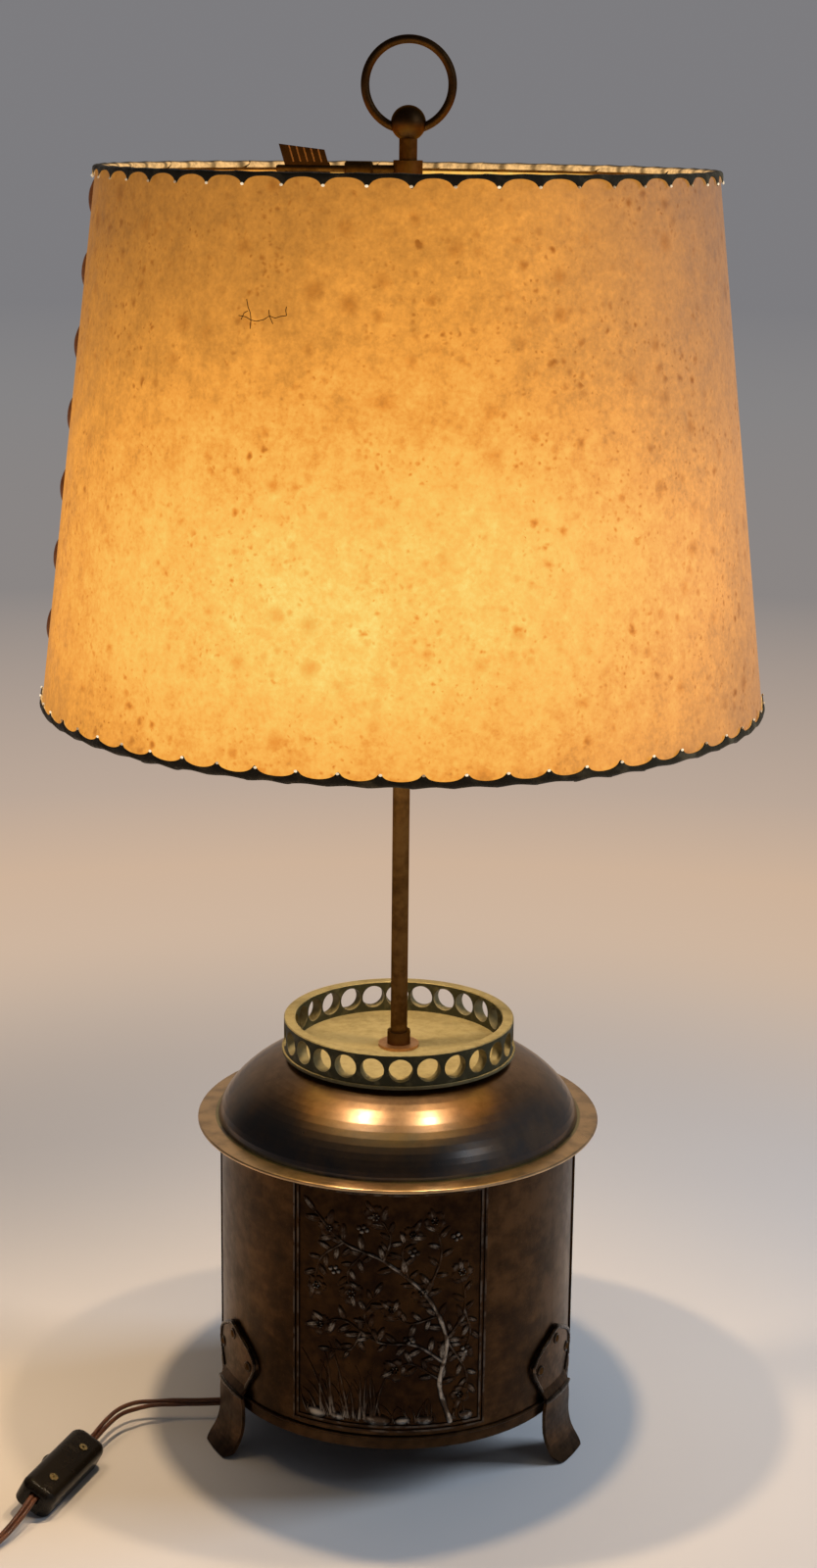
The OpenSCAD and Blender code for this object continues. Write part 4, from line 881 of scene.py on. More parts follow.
wire(tree, shader, Base_Color=blend_colours(tree, spots, skin, SPOT_BROWN),
     Emission_Color=blend_colours(tree, spots, shining, FRECKLE_BROWN, "MULTIPLY"), Emission_Strength=0.96,
     Roughness=spread(tree, mottle, 0.3, 0.7, 0.45, 0.65), Specular_IOR_Level=0.15,
     Normal=bump(tree, calc(tree, "ADD", grain, fibre), 0.08 * MM))
dress(material, "shade_parchment")
print("shade:", material.name)

# %% [markdown]
# ## Leather
# The edges are laced with dark leather. Inside the shade the bulbs light it orange, but less in the folds
# between the stitches. A face that looks towards the rod is inside, and a wave round the shade with the
# count of the upper edge's stitches stands for the folds.

# %% Leather of the lacing
TOP_STITCHES = 50
LOW_STITCHES = 60
LEATHER_DARK = (0.026, 0.020, 0.010, 1)
LEATHER_WORN = (0.085, 0.065, 0.034, 1)
LEATHER_LIT = (1.0, 0.58, 0.22, 1)
BLACK = (0, 0, 0, 1)
lace_leather, tree, shader = new_material("lace_leather")
where = object_place(tree)
crease = noise(tree, where, 260.0, 5.0, 0.65)
rub = spread(tree, noise(tree, where, 90.0, 4.0), 0.5, 0.72)
facing = place_group(tree, outward)["Facing"]
lit = times(tree, spread(tree, facing, -0.1, -0.7), spread(tree, crease, 0.35, 0.65, 0.5, 1.0))
around = add_node(tree, "ShaderNodeSeparateXYZ", Vector=where).outputs
around = calc(tree, "ARCTAN2", around["Y"], around["X"])
arch = calc(tree, "ABSOLUTE", calc(tree, "SINE", times(tree, around, TOP_STITCHES / 2)))
lit = times(tree, lit, spread(tree, arch, 0.05, 0.5, 0.3, 1.0))
wire(tree, shader, Base_Color=blend_colours(tree, rub, LEATHER_DARK, LEATHER_WORN), Specular_IOR_Level=0.25,
     Emission_Color=blend_colours(tree, lit, BLACK, LEATHER_LIT), Emission_Strength=1.0,
     Roughness=spread(tree, crease, 0.3, 0.7, 0.45, 0.72), Normal=bump(tree, crease, 0.25 * MM))
dress(lace_leather, "top_lacing", "bottom_lacing", "side_lacing")
print("stitches round the edges:", TOP_STITCHES, LOW_STITCHES)

# %% [markdown]
# ## Lacing of the shade's edges
# A leather lace is whipped over each edge: it comes out of a punched hole, goes over the rim and back in
# behind. Seen from outside this leaves a band with a tip at every hole and a round arch of bare parchment
# between two tips. One stitch is a small grid, bent over the rim by two short formulas and then thickened
# and smoothed. A few uneven stitches are modelled, and copies of them are set round the rim, so that the
# row looks sewn by hand.

# %% Where a stitch runs
SHADE_TOP_R = 176.2 * MM
SHADE_TOP_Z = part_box("shade_parchment")[1].z
SHADE_LOW_R = 213.2 * MM
SHADE_LOW_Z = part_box("shade_parchment")[0].z
SHADE_LEAN = math.atan2(SHADE_LOW_R - SHADE_TOP_R, SHADE_TOP_Z - SHADE_LOW_Z)
LACE_T = 1.1 * MM
LACE_OUT = 1.45 * MM
LACE_IN = -6.6 * MM
LACE_RIM = 0.9 * MM
LACE_BACK = 2.2 * MM
LACE_PUFF = 0.6 * MM
LACE_SLANT = 0.5
SLANT_FROM = 0.2
LACE_LAP = 1.1
LACE_EDGE = 0.4 * MM
LACE_PEAK = 7.4 * MM
OUTER_SHARE = 0.4
RIM_END = 0.6
VARIANTS = 6
luck = random.Random(8)
print("shade leans by", round(math.degrees(SHADE_LEAN), 1), "degrees")


def shade_place(top, along, across, angle):
    """A place at an edge of the shade, along its wall from the rim and across it from its outer face."""
    inward = 1 if top else -1
    radius = (SHADE_TOP_R if top else SHADE_LOW_R) + across * math.cos(SHADE_LEAN)
    radius += inward * along * math.sin(SHADE_LEAN)
    height = (SHADE_TOP_Z if top else SHADE_LOW_Z) + across * math.sin(SHADE_LEAN)
    height -= inward * along * math.cos(SHADE_LEAN)
    return Vector((radius * math.cos(angle), radius * math.sin(angle), height))


def lace_section(v, hump):
    """The strip from its outer edge, over the rim, to its inner edge: along and across the wall."""
    if v < OUTER_SHARE:
        return hump - (hump + LACE_EDGE) * v / OUTER_SHARE, LACE_OUT
    if v < RIM_END:
        turn = (v - OUTER_SHARE) / (RIM_END - OUTER_SHARE)
        return -LACE_RIM * math.sin(math.pi * turn) ** 0.6 - LACE_EDGE, LACE_OUT + (LACE_IN - LACE_OUT) * turn
    return LACE_BACK * (v - RIM_END) / (1 - RIM_END), LACE_IN


# %% One stitch
def lace_stitch(top, step, band, slack):
    """One stitch of an edge, centred on angle zero, with the depths of its band and its slack."""
    tall = luck.uniform(0.9, 1.08)
    lean = LACE_SLANT * luck.uniform(0.7, 1.3)
    sag = luck.uniform(0.5, 1.5) * slack
    deselect()
    bpy.ops.mesh.primitive_grid_add(x_subdivisions=14, y_subdivisions=12, size=1)
    stitch = bpy.context.object
    for corner in stitch.data.vertices:
        u = corner.co.x
        v = corner.co.y + 0.5
        swell = 0.5 + 0.5 * math.cos(2 * math.pi * u)
        toward_tip = 1 - abs(2 * u)
        hump = band + (LACE_PEAK * tall - band) * (1 - math.sqrt(1 - toward_tip**2))
        along, across = lace_section(v, hump)
        across += math.copysign(LACE_PUFF, across) * (math.cos(math.pi * u) ** 2 - 0.5) * min(1, 5 * v)
        along -= sag * (1 - swell) * near(v, 0.5, 0.3)
        corner.co = shade_place(top, along, across, (LACE_LAP * u + lean * (v - SLANT_FROM)) * step)
    thicken = stitch.modifiers.new("thicken", "SOLIDIFY")
    thicken.thickness = LACE_T
    thicken.offset = -1 if top else 1
    smooth = stitch.modifiers.new("smooth", "SUBSURF")
    smooth.levels = 1
    bpy.ops.object.modifier_apply(modifier=thicken.name)
    bpy.ops.object.modifier_apply(modifier=smooth.name)
    bpy.ops.object.shade_smooth()
    return stitch


# %% Stitches round an edge
def turned_copy(piece, matrix):
    """A copy of a piece with a mesh of its own, moved by a matrix."""
    made = piece.copy()
    made.data = piece.data.copy()
    made.data.transform(matrix)
    bpy.context.scene.collection.objects.link(made)
    return made


def join_pieces(name, pieces):
    """Several pieces joined into one."""
    deselect()
    for piece in pieces:
        piece.select_set(True)
    bpy.context.view_layer.objects.active = pieces[0]
    bpy.ops.object.join()
    pieces[0].name = name
    return pieces[0]


def declare(piece, material, body, slot, *stands_for):
    """Gives a new piece its finish and its body, and hides the CAD nodes that it replaces; the slot is not
    used.
    """
    piece.data.materials.append(material)
    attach(piece, body)
    if stands_for:
        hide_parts(*stands_for)


def lace_edge(name, stands_for, top, count, band, slack):
    """The lacing all round one edge."""
    step = 2 * math.pi / count
    models = [lace_stitch(top, step, band, slack) for _ in range(VARIANTS)]
    round_edge = [turned_copy(luck.choice(models), Matrix.Rotation(i * step, 4, "Z")) for i in range(count)]
    for model in models:
        bpy.data.objects.remove(model)
    piece = join_pieces(name, round_edge)
    declare(piece, lace_leather, "shade", "lace_leather", stands_for)
    print(name, "has", len(piece.data.polygons), "faces")


lace_edge("top_edge_lacing", "top_lacing", True, TOP_STITCHES, band=0.9 * MM, slack=0.45 * MM)
lace_edge("bottom_edge_lacing", "bottom_lacing", False, LOW_STITCHES, band=1.9 * MM, slack=1.1 * MM)

# %% [markdown]
# ## Light in the punched holes
# At every tip the lace goes into its hole, and the bulb shines out beside it as a bright dot. Each dot is
# a small flattened sphere, set into the tip.

# %% Bright dots at the lacing's holes
DOT_R = 0.9 * MM
DOT_BACK = 1.9 * MM
DOT_PROUD = 0.2 * MM
DOT_FLAT = Matrix.Diagonal((0.6, 1.1, 0.8, 1))
DOT_DIM = (0.12, 0.06, 0.02, 1)
DOT_BRIGHT = (0.98, 0.84, 0.60, 1)
material, tree, shader = new_material("light_in_hole")
flicker = spread(tree, noise(tree, object_place(tree), 45.0, 2.0), 0.40, 0.62)
wire(tree, shader, Base_Color=(0.5, 0.36, 0.2, 1), Roughness=0.3,
     Emission_Color=blend_colours(tree, flicker, DOT_DIM, DOT_BRIGHT), Emission_Strength=0.9)


def hole_dots(name, top, count):
    """The bright dots of one edge, a little off the tips."""
    step = 2 * math.pi / count
    dots = []
    for i in range(count):
        angle = (i - SLANT_FROM * LACE_SLANT) * step
        place = shade_place(top, LACE_PEAK - DOT_BACK, LACE_OUT + DOT_PROUD, angle)
        bpy.ops.mesh.primitive_uv_sphere_add(segments=10, ring_count=6, radius=DOT_R)
        dot = bpy.context.object
        dot.data.transform(Matrix.Translation(place) @ Matrix.Rotation(angle, 4, "Z") @ DOT_FLAT)
        dots.append(dot)
    piece = join_pieces(name, dots)
    bpy.ops.object.shade_smooth()
    declare(piece, material, "shade", "parchment")
    print(name, "are", count)


hole_dots("top_hole_dots", True, TOP_STITCHES)
hole_dots("bottom_hole_dots", False, LOW_STITCHES)

# %% [markdown]
# ## Stitches up the seam
# The parchment is one sheet, closed at the lamp's left by a row of short fat stitches. In the light of the
# bulbs their edges turn red-brown. Each is a sphere drawn out to a bean, pinched at its ends and marked
# by the crease that the lace's fold leaves.

# %% Seam stitches
SEAM_ANGLE = math.radians(-176)
SEAM_FIRST = 16.5 * MM
SEAM_PITCH = 41.5 * MM
SEAM_COUNT = 7
BEAN_HALF = 9.8 * MM
BEAN_WIDE = 3.9 * MM
BEAN_HIGH = 2.7 * MM
BEAN_SEAT = 0.1 * MM
BEAN_GROOVE = 0.55 * MM
SEAM_DARK = (0.045, 0.016, 0.007, 1)
SEAM_PALE = (0.15, 0.055, 0.02, 1)
SEAM_GLOW_DARK = (0.02, 0.005, 0.001, 1)
SEAM_GLOW_PALE = (0.16, 0.045, 0.008, 1)

material, tree, shader = new_material("seam_leather")
crease = noise(tree, object_place(tree), 240.0, 5.0, 0.65)
wire(tree, shader, Base_Color=blend_colours(tree, crease, SEAM_DARK, SEAM_PALE), Roughness=0.5,
     Emission_Color=blend_colours(tree, crease, SEAM_GLOW_DARK, SEAM_GLOW_PALE), Emission_Strength=0.8,
     Normal=bump(tree, crease, 0.3 * MM))

beans = []
for i in range(SEAM_COUNT):
    bpy.ops.mesh.primitive_uv_sphere_add(segments=24, ring_count=20, radius=1)
    bean = bpy.context.object
    middle = shade_place(True, SEAM_FIRST + i * SEAM_PITCH, BEAN_SEAT, 0)
    tilt = luck.uniform(-0.12, 0.12)
    for corner in bean.data.vertices:
        across, side, along = corner.co
        pinch = 1 - 0.35 * along**2
        groove = BEAN_GROOVE * near(side, 0.25 * along + tilt, 0.3) * max(0, across)
        out = BEAN_HIGH * max(across, 0) * pinch - groove
        corner.co = (out, BEAN_WIDE * side * pinch + tilt * BEAN_HALF * along, BEAN_HALF * along)
    lean = Matrix.Rotation(-SHADE_LEAN, 4, "Y")
    bean.data.transform(Matrix.Rotation(SEAM_ANGLE, 4, "Z") @ Matrix.Translation(middle) @ lean)
    beans.append(bean)
seam = join_pieces("seam_stitches", beans)
bpy.ops.object.shade_smooth()
declare(seam, material, "shade", "lace_leather", "side_lacing")
print("seam stitches:", SEAM_COUNT)

# %% [markdown]
# ## Relief on the canister's panels
# Each panel is embossed with a shallow picture. This lamp gets a design of its own: a blossoming bough that
# rises from the right and bends to the left, over reeds and stones. A displaced plane could carry it, but
# then every edge would be soft. So it is put together flat, from a leaf, a petal, a blade and a berry that
# are each modelled once, and then rolled on to the canister.

# %% A leaf, a petal, a blade and a berry
PANEL_R = 110.15 * MM
SUNK = 0.25


def flat_model(name, across, along, shape):
    """A grid from 0 to 1 along y whose corners are moved by a shape's formula."""
    deselect()
    bpy.ops.mesh.primitive_grid_add(x_subdivisions=across, y_subdivisions=along, size=1)
    model = bpy.context.object
    model.name = name
    for corner in model.data.vertices:
        corner.co = shape(2 * corner.co.x, corner.co.y + 0.5)
    bpy.ops.object.shade_smooth()
    return model


def leaf_shape(side, t):
    """A pointed leaf with a groove down the middle and slanting veins."""
    wide = 1.75 * t**0.62 * (1 - t) ** 0.85
    dome = (1 - side**2) * math.sin(math.pi * min(1, t + 0.08)) ** 0.5
    groove = 0.42 * math.exp(-((side / 0.2) ** 2)) * (1 - t)
    vein = 0.10 * math.cos(2 * math.pi * (5 * t - 1.4 * abs(side))) * (1 - side**2)
    return wide * side / 2, t, dome - groove + vein - SUNK


def petal_shape(side, t):
    """A round petal with a notch at its end and a hollow towards its root."""
    wide = 1.05 * math.sin(math.pi * t**0.75) ** 0.7 + 0.12 * (1 - t)
    rim = 1 - 0.16 * math.exp(-((side / 0.35) ** 2)) * t**4
    dome = (1 - side**4) * (0.25 + 0.75 * t) * (1 - t**6)
    return wide * side / 2, t * rim, dome - SUNK


def blade_shape(side, t):
    """A narrow blade of a reed, bent over towards its tip."""
    wide = 1 - t**1.6
    return wide * side / 2 + 1.8 * t**3, t - 0.12 * t**4, (1 - side**2) * (1 - 0.5 * t) - SUNK


leaf_model = flat_model("leaf_model", 10, 14, leaf_shape)
petal_model = flat_model("petal_model", 8, 8, petal_shape)
blade_model = flat_model("blade_model", 4, 14, blade_shape)
bpy.ops.mesh.primitive_uv_sphere_add(segments=14, ring_count=8, radius=0.5)
berry_model = bpy.context.object
bpy.ops.object.shade_smooth()
print("models:", [m.name for m in (leaf_model, petal_model, blade_model)], "and a berry")

# %% Lines of the bough and its twigs
BAR_SIDES = 2
LINE_STEPS = 8
bough = [(38, 0), (31, 26), (35, 54), (22, 84), (-3, 106), (-27, 116), (-45, 133)]
second = [(33, 40), (16, 52), (-6, 54), (-26, 66), (-42, 62)]
twigs = [
    [(32, 28), (14, 40), (4, 36)],
    [(35, 54), (46, 72), (44, 96)],
    [(29, 70), (12, 66), (2, 74)],
    [(22, 84), (31, 108), (27, 130)],
    [(-3, 106), (1, 122), (-8, 136)],
    [(-14, 111), (-24, 98), (-22, 84)],
    [(-27, 116), (-41, 104), (-46, 86)],
    [(46, 72), (50, 58), (47, 46)],
    [(-6, 54), (-14, 70), (-8, 84)],
    [(-16, 60), (-22, 48), (-34, 46)],
    [(12, 94), (8, 112), (14, 124)],
    [(35, 54), (48, 30), (44, 16)],
]


def flat_line(points):
    """A smooth line through places on the flat panel, given in millimetres."""
    return smooth_route([Vector((x, y, 0)) * MM for x, y in points], LINE_STEPS)


print("twigs:", len(twigs))


# %% Bars, stems and leaves
KNOT = 0.12
KNOT_WAVE = 1.7


def bar(name, line, radii):
    """A round bar along a line, with a radius for each of its points."""
    curve = bpy.data.curves.new(name, "CURVE")
    curve.dimensions = "3D"
    curve.bevel_depth = 1.0
    curve.bevel_resolution = BAR_SIDES
    curve.use_fill_caps = True
    spline = curve.splines.new("POLY")
    spline.points.add(len(line) - 1)
    for point, place, radius in zip(spline.points, line, radii):
        point.co = (*place, 1)
        point.radius = radius
    made = bpy.data.objects.new(name, curve)
    bpy.context.scene.collection.objects.link(made)
    deselect()
    made.select_set(True)
    bpy.context.view_layer.objects.active = made
    bpy.ops.object.convert(target="MESH")
    bpy.ops.object.shade_smooth()
    return bpy.context.object


def stem(points, thick, thin):
    """A knotty stem along a flat line, from its thick end to its thin one, half sunk in the panel."""
    line = flat_line(points)
    taper = [thick + (thin - thick) * i / len(line) for i in range(len(line))]
    return bar("stem", line, [r + KNOT * thick * math.sin(KNOT_WAVE * i) for i, r in enumerate(taper)])


def stamp(model, x, y, turn, wide, tall, high):
    """A copy of a model at a place on the flat panel, turned, and sized in millimetres."""
    size = Matrix.Diagonal((wide * MM, tall * MM, high * MM, 1))
    return turned_copy(model, Matrix.Translation((x, y, 0)) @ Matrix.Rotation(turn, 4, "Z") @ size)


def leaves_along(points, every, size):
    """Leaves on both sides of a stem in turn, and one at its tip."""
    line = flat_line(points)
    made = []
    walked = 0.4 * every
    side = 1
    for a, b in zip(line, line[1:]):
        walked += (b - a).length / MM
        if walked < every:
            continue
        walked = 0
        side = -side
        heading = math.atan2(b.y - a.y, b.x - a.x) - math.pi / 2
        turn = heading + side * luck.uniform(0.7, 1.15)
        long = size * luck.uniform(0.8, 1.2)
        made.append(stamp(leaf_model, a.x, a.y, turn, 0.72 * long, long, luck.uniform(1.2, 2.0)))
    tip = line[-1]
    heading = math.atan2(tip.y - line[-3].y, tip.x - line[-3].x) - math.pi / 2
    made.append(stamp(leaf_model, tip.x, tip.y, heading, 0.7 * size, 1.1 * size, 1.7))
    return made


# %% Bough and twigs with their leaves
relief = [stem(bough, thick=1.9 * MM, thin=0.8 * MM), stem(second, thick=1.3 * MM, thin=0.6 * MM)]
relief += leaves_along(bough[1:], every=4.6, size=11.5)
relief += leaves_along(second, every=4.2, size=11.0)
for twig in twigs:
    relief.append(stem(twig, thick=0.95 * MM, thin=0.55 * MM))
    relief += leaves_along(twig, every=3.6, size=10.0)
print("pieces of the bough:", len(relief))

# %% Blossoms and berries
PETALS = 5
STAMENS = 6
KNOB_SIZE = (1.3, 1.3, 4.4)
BERRY_SIZE = (3, 3, 3.2)
blossoms = [(4, 36, 8.8), (44, 97, 8.2), (27, 131, 7.6), (-8, 134, 8.4), (-22, 84, 8.8), (-44, 86, 7.4),
            (20, 86, 8.0), (2, 75, 7.4), (-36, 124, 7.8), (-42, 61, 8.2), (14, 123, 7.0), (44, 17, 7.4)]
BERRY_CLUSTER = ((0, 0), (3, 1), (1.2, 3.2), (-1.8, 2.2))
berries = [(47, 45), (12, 54), (40, 118), (-16, 124), (-33, 96), (14, 110)]


def blossom(x, y, size):
    """Five petals round a middle of small knobs."""
    start = luck.uniform(0, 1)
    made = []
    for k in range(PETALS):
        turn = start + 2 * math.pi * k / PETALS
        made.append(stamp(petal_model, x, y, turn, 0.95 * size, size, luck.uniform(1.5, 2.0)))
    for k in range(STAMENS):
        turn = 2 * math.pi * k / STAMENS
        reach = 0.22 * size * MM
        knob_x = x + reach * math.cos(turn)
        knob_y = y + reach * math.sin(turn)
        made.append(stamp(berry_model, knob_x, knob_y, 0, *KNOB_SIZE))
    return made


for x, y, size in blossoms:
    relief += blossom(x * MM, y * MM, size)
for x, y in berries:
    for dx, dy in BERRY_CLUSTER:
        relief.append(stamp(berry_model, (x + dx) * MM, (y + dy) * MM, 0, *BERRY_SIZE))
print("with blossoms and berries:", len(relief))

# %% Reeds, grass and stones
REEDS = 26
GRASS = 44
REED_SPAN = (-48, -4)
REED_MIDDLE = sum(REED_SPAN) / 2
REED_FALL = 60
REED_TALL = (26, 62)
REED_WIDE = (2.2, 3.4)
GRASS_SPAN = (-50, 50)
GRASS_TALL = (8, 20)
GRASS_WIDE = (1.4, 2.2)
REED_FOOT = 3 * MM
GRASS_FOOT = 1.5 * MM
REED_HIGH = 1.6
GRASS_HIGH = 1.5
STONE_HIGH = 3.0
STONES = ((-44, 15, 8), (-31, 11, 6), (-6, 17, 9), (9, 10, 6), (22, 13, 7), (48, 10, 7))
for _ in range(REEDS):
    x = luck.uniform(*REED_SPAN)
    lean = luck.uniform(-0.25, 0.25) - 0.004 * x
    tall = luck.uniform(*REED_TALL) * (1 - abs(x - REED_MIDDLE) / REED_FALL)
    wide = luck.choice((-1, 1)) * luck.uniform(*REED_WIDE)
    relief.append(stamp(blade_model, x * MM, REED_FOOT, lean, wide, tall, REED_HIGH))
for _ in range(GRASS):
    x = luck.uniform(*GRASS_SPAN)
    wide = luck.choice((-1, 1)) * luck.uniform(*GRASS_WIDE)
    lean = luck.uniform(-0.5, 0.5)
    tall = luck.uniform(*GRASS_TALL)
    relief.append(stamp(blade_model, x * MM, GRASS_FOOT, lean, wide, tall, GRASS_HIGH))
for x, wide, tall in STONES:
    relief.append(stamp(berry_model, x * MM, REED_FOOT, luck.uniform(-0.2, 0.2), wide, tall, STONE_HIGH))
flat_relief = join_pieces("flat_relief", relief)
for model in (leaf_model, petal_model, blade_model, berry_model):
    bpy.data.objects.remove(model)
print("faces of one relief:", len(flat_relief.data.polygons))

# %% Worn copper of the panels
RELIEF_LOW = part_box("panel_front")[0].z + 5 * MM
WORN_TOP = (0.40, 0.37, 0.33, 1)
embossed_copper = metal_finish("embossed_copper", (0.034, 0.017, 0.007), (0.020, 0.010, 0.005),
                               (0.011, 0.006, 0.004), scale=30, darkness=0.45, smooth=0.26, rough=0.42,
                               dent=0.15 * MM)
tree, shader = shader_of(embossed_copper)
radius = place_group(tree, from_axis)["Radius"]
raised = calc(tree, "SUBTRACT", radius, PANEL_R)
worn = spread(tree, raised, 0.5 * MM, 1.9 * MM)
patch = spread(tree, noise(tree, object_place(tree), 120.0, 4.0), 0.40, 0.62)
worn = times(tree, worn, spread(tree, patch, 0.0, 1.0, 0.08, 0.9))
wire(tree, shader, Base_Color=blend_colours(tree, worn, base_colour(shader), WORN_TOP))
dress(embossed_copper, "panel_front", "panel_right", "panel_left")
print("panels:", embossed_copper.name)

# %% Roll the relief on to the three panels
for name, turn, mirrored in (("front", 0, 1), ("right", 120, -1), ("left", -120, -1)):
    piece = turned_copy(flat_relief, Matrix.Identity(4))
    piece.name = "relief_" + name
    for corner in piece.data.vertices:
        angle = math.radians(turn - 90) + mirrored * corner.co.x / PANEL_R
        radius = PANEL_R + corner.co.z
        corner.co = (radius * math.cos(angle), radius * math.sin(angle), RELIEF_LOW + corner.co.y)
    if mirrored < 0:
        piece.data.flip_normals()
    declare(piece, embossed_copper, "base", "dark_copper")
    print("rolled on:", piece.name)
bpy.data.objects.remove(flat_relief)

# %% [markdown]
# ## Feet
# Each foot is a strap cut from thick sheet: a leaf riveted to the canister, a waist, and a toe turned out.
# The CAD feet have that shape. What they lack is the handwork: a rim raised along the leaf's edge, a roll
# hammered across the waist where the strap steps over the hoop, and the rings that the rivets sit in.
# The first two are bars along a line, and the rings are thin tori.

# %% Sizes of the feet's trims
FOOT_TURNS = (-61.5, 65, 180)
LEAF_FACE = 111.6 * MM
STRAP_FACE = 114.9 * MM
LEAF_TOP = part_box("foot_left")[1].z
WAIST_Z = 42.3 * MM
WAIST_HALF = 16 * MM
LEAF_SWELL = 20 * MM
RIM_R = 1.25 * MM
RIM_IN = 0.96
TIP_BACK = 0.6 * MM
ROLL_R = 1.9 * MM
ROLL_OVER = 1.5 * MM
ROLL_SUNK = 0.4 * MM
ROLL_DROP = 1.6 * MM
RIVETS = ((0, 8), (-19, 22), (19, 22))
RING_R = 2.75 * MM
RING_T = 0.75 * MM
EDGE_STEPS = 18
print("leaf of a foot from", round(WAIST_Z / MM, 1), "to", round(LEAF_TOP / MM, 1), "mm")


# %% Rims, rolls and rivet rings
def leaf_half(u):
    """Half of the leaf's width, from its waist at 0 to its tip at 1."""
    return WAIST_HALF * (1 - u) + LEAF_SWELL * math.sin(math.pi * u**1.35)


def on_canister(turn, side, radius, z):
    """A place round the canister, at a foot's angle and some way to its side."""
    angle = math.radians(turn - 90) + math.asin(side / radius)
    return Vector((radius * math.cos(angle), radius * math.sin(angle), z))


def foot_rim(turn):
    """A raised rim up one edge of the leaf, round its tip and down the other."""
    half_way = [(leaf_half(i / EDGE_STEPS), WAIST_Z + (LEAF_TOP - WAIST_Z) * i / EDGE_STEPS)
                for i in range(2, EDGE_STEPS)]
    edge = half_way + [(0, LEAF_TOP - TIP_BACK)] + [(-side, z) for side, z in reversed(half_way)]
    line = smooth_route([on_canister(turn, side * RIM_IN, LEAF_FACE, z) for side, z in edge], 3)
    return bar("rim", line, [RIM_R * luck.uniform(0.9, 1.1) for _ in line])


def foot_roll(turn):
    """A roll across the foot's waist, thinner towards its ends."""
    reach = WAIST_HALF + ROLL_OVER
    face = STRAP_FACE - ROLL_SUNK
    shares = [i / EDGE_STEPS * 2 - 1 for i in range(EDGE_STEPS + 1)]
    line = [on_canister(turn, share * reach, face, WAIST_Z - ROLL_DROP) for share in shares]
    return bar("roll", line, [ROLL_R * (1 - 0.4 * share**4) for share in shares])


def rivet_ring(turn, side, below):
    """A ring pressed round a rivet's head."""
    bpy.ops.mesh.primitive_torus_add(major_segments=28, minor_segments=10, major_radius=RING_R,
                                     minor_radius=RING_T)
    ring = bpy.context.object
    place = on_canister(turn, side, LEAF_FACE, LEAF_TOP - below)
    facing = Vector((place.x, place.y, 0)).to_track_quat("Z", "Y").to_matrix().to_4x4()
    ring.data.transform(Matrix.Translation(place) @ facing)
    bpy.ops.object.shade_smooth()
    return ring


# %% The trims of all three feet
rims = [foot_rim(turn) for turn in FOOT_TURNS]
rolls = [foot_roll(turn) for turn in FOOT_TURNS]
rings = [rivet_ring(turn, side * MM, below * MM) for turn in FOOT_TURNS for side, below in RIVETS]
for name, pieces in (("foot_rims", rims), ("foot_rolls", rolls), ("rivet_rings", rings)):
    print(name, "are", len(pieces))
    declare(join_pieces(name, pieces), rim_copper, "base", "dark_copper")

# %% [markdown]
# ## Crack in the parchment
# Left of the middle the dry parchment has cracked, in a short jagged line with a few branches. Dirt has
# settled in it, so it shows dark against the light. It is drawn as hair-thin bars that lie on the shade.

# %% Crack
CRACK_R = 0.22 * MM
CRACK_PROUD = 0.05 * MM
DIRT_DARK = (0.02, 0.008, 0.002, 1)
DIRT_PALE = (0.11, 0.04, 0.01, 1)
CRACK_DEPTH = 72 * MM
CRACK_ANGLE = math.radians(-111.2)
cracks = [[(-13, 0.5), (-9, 0), (-6, -1.5), (-3, -2), (1, -1), (4, 1), (7, 0), (10, 1), (13, 1.5)],
          [(-9, 9), (-8, 5), (-6.5, 2), (-6, -1.5), (-6.2, -6)],
          [(-8, 3), (-10, 2), (-11.5, -1.5)], [(3.5, 4), (4, 1), (6, -3)], [(13, 1.5), (12.5, 4), (12.8, 6)]]


def on_shade(side, up):
    """A place on the parchment, in millimetres to the right of and above the crack's middle."""
    angle = CRACK_ANGLE + side * MM / SHADE_TOP_R
    return shade_place(True, CRACK_DEPTH - up * MM, CRACK_PROUD, angle)


lines = [[on_shade(side, up) for side, up in crack] for crack in cracks]
crack = join_pieces("parchment_crack", [bar("crack", line, [CRACK_R] * len(line)) for line in lines])
material, tree, shader = new_material("crack_dirt")
grit = noise(tree, object_place(tree), 700.0)
wire(tree, shader, Base_Color=blend_colours(tree, grit, DIRT_DARK, DIRT_PALE), Roughness=0.8)
declare(crack, material, "shade", "parchment")
print("branches of the crack:", len(cracks))

# %% [markdown]
# ## Feathers of the arrow key
# The key that clamps the shade ends in two vanes like an arrow's feathers. The CAD vanes are cut into
# barbs. On the real key the barbs are only ribs on a thin sheet, so a sheet is set between them: a plane
# drawn to the vane's outline and thickened, once above the shaft and once below.

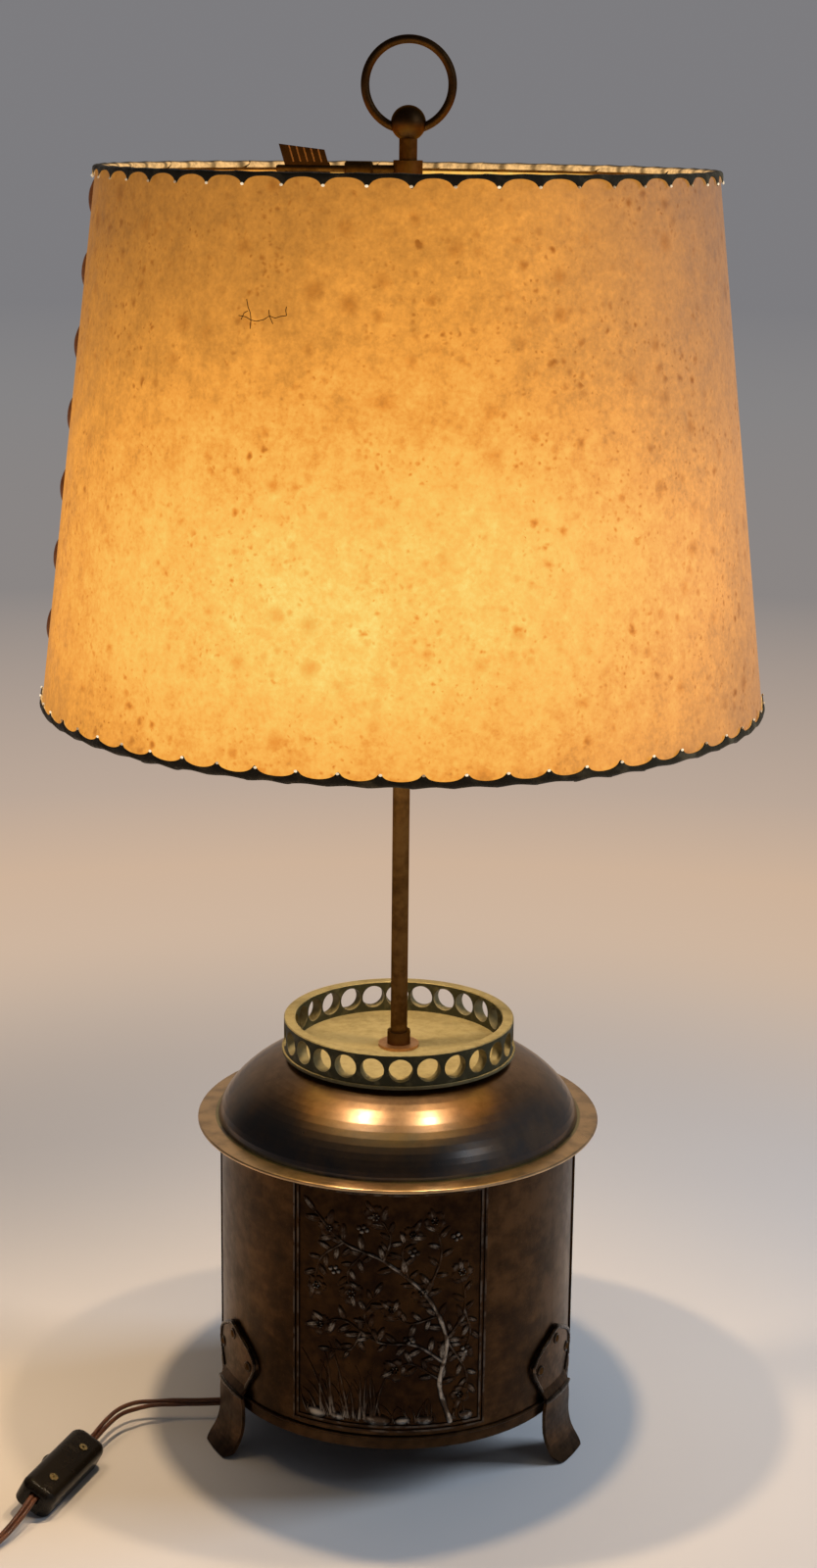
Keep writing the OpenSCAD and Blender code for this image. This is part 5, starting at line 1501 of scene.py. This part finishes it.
# %% Sheet between the barbs
vane_low, vane_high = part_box("key_vanes")
VANE_LEAN = 4 * MM
VANE_STEP = 3 * MM
VANE_SHEET = 0.8 * MM
VANE_SOFT = 0.2 * MM
shaft_z = (vane_low.z + vane_high.z) / 2
tall = vane_high.z - shaft_z
outline = [(vane_low.x + VANE_LEAN, 0), (vane_high.x, 0), (vane_low.x, tall),
           (vane_high.x - VANE_LEAN, tall - VANE_STEP)]
sheets = []
for up in (1, -1):
    deselect()
    bpy.ops.mesh.primitive_plane_add(size=1)
    sheet = bpy.context.object
    for corner, (x, height) in zip(sheet.data.vertices, outline):
        corner.co = (x, 0, shaft_z + up * height)
    thicken = sheet.modifiers.new("thicken", "SOLIDIFY")
    thicken.thickness = VANE_SHEET
    thicken.offset = 0
    bpy.ops.object.modifier_apply(modifier=thicken.name)
    soften = sheet.modifiers.new("soften", "BEVEL")
    soften.width = VANE_SOFT
    soften.segments = 2
    bpy.ops.object.modifier_apply(modifier=soften.name)
    sheets.append(sheet)
vanes = join_pieces("vane_sheets", sheets)
declare(vanes, washer_copper, "arrow_key", "old_brass")
print("vane sheets:", len(sheets))

# %% [markdown]
# ## Tie round the coil
# The spare cord is rolled up and held by a twisted wire tie: one loop round the flat coil, and its two ends
# twisted together on top. Both are bars, like the stems of the relief.

# %% Twisted tie
TIE_R = 0.5 * MM
TIE_ANGLE = math.radians(70)
TIE_IN = COIL_IN - COIL_DIP - CORD_W / 2 - 1.2 * MM
TIE_OUT = COIL_IN + COIL_PITCH * COIL_TURNS / 2 + CORD_W / 2 + 1.2 * MM
TIE_TOP = 2 * CORD_LAY + COIL_LAYER + 0.4 * MM
TWISTS = 3.5
TWIST_LEN = 13 * MM
TIE_STEPS = 42
TIE_TURN = 2 * MM
TIE_RISE = 5 * MM


def tie_place(out, z, aside=0.0):
    """A place in the upright plane that the tie lies in."""
    along = Vector((math.cos(TIE_ANGLE), math.sin(TIE_ANGLE), 0))
    across = Vector((-along.y, along.x, 0))
    return COIL_PLACE + along * out + across * aside + Vector((0, 0, z))


middle = (TIE_IN + TIE_OUT) / 2
far = TIE_OUT - TIE_TURN
close = TIE_IN + TIE_TURN
loop = [tie_place(out, z) for out, z in (
    (middle, TIE_TOP), (far, TIE_TOP), (TIE_OUT, TIE_TOP / 2), (far, TIE_R), (middle, TIE_R), (close, TIE_R),
    (TIE_IN, TIE_TOP / 2), (close, TIE_TOP), (middle, TIE_TOP))]
loop = smooth_route(loop, END_STEPS)
strands = [bar("loop", loop, [TIE_R] * len(loop))]
for start in (0, math.pi):
    twist = []
    for i in range(TIE_STEPS + 1):
        t = i / TIE_STEPS
        turn = start + 2 * math.pi * TWISTS * t
        rise = TIE_TOP + TIE_R * math.sin(turn) + TIE_RISE * math.sin(0.5 * math.pi * t)
        twist.append(tie_place(middle + TWIST_LEN * t**1.3, rise, TIE_R * math.cos(turn)))
    strands.append(bar("twist", twist, [TIE_R] * len(twist)))
tie = join_pieces("coil_tie", strands)
declare(tie, black_plastic, "base", "bakelite")
print("tie round the coil from", round(TIE_IN / MM, 1), "to", round(TIE_OUT / MM, 1), "mm")
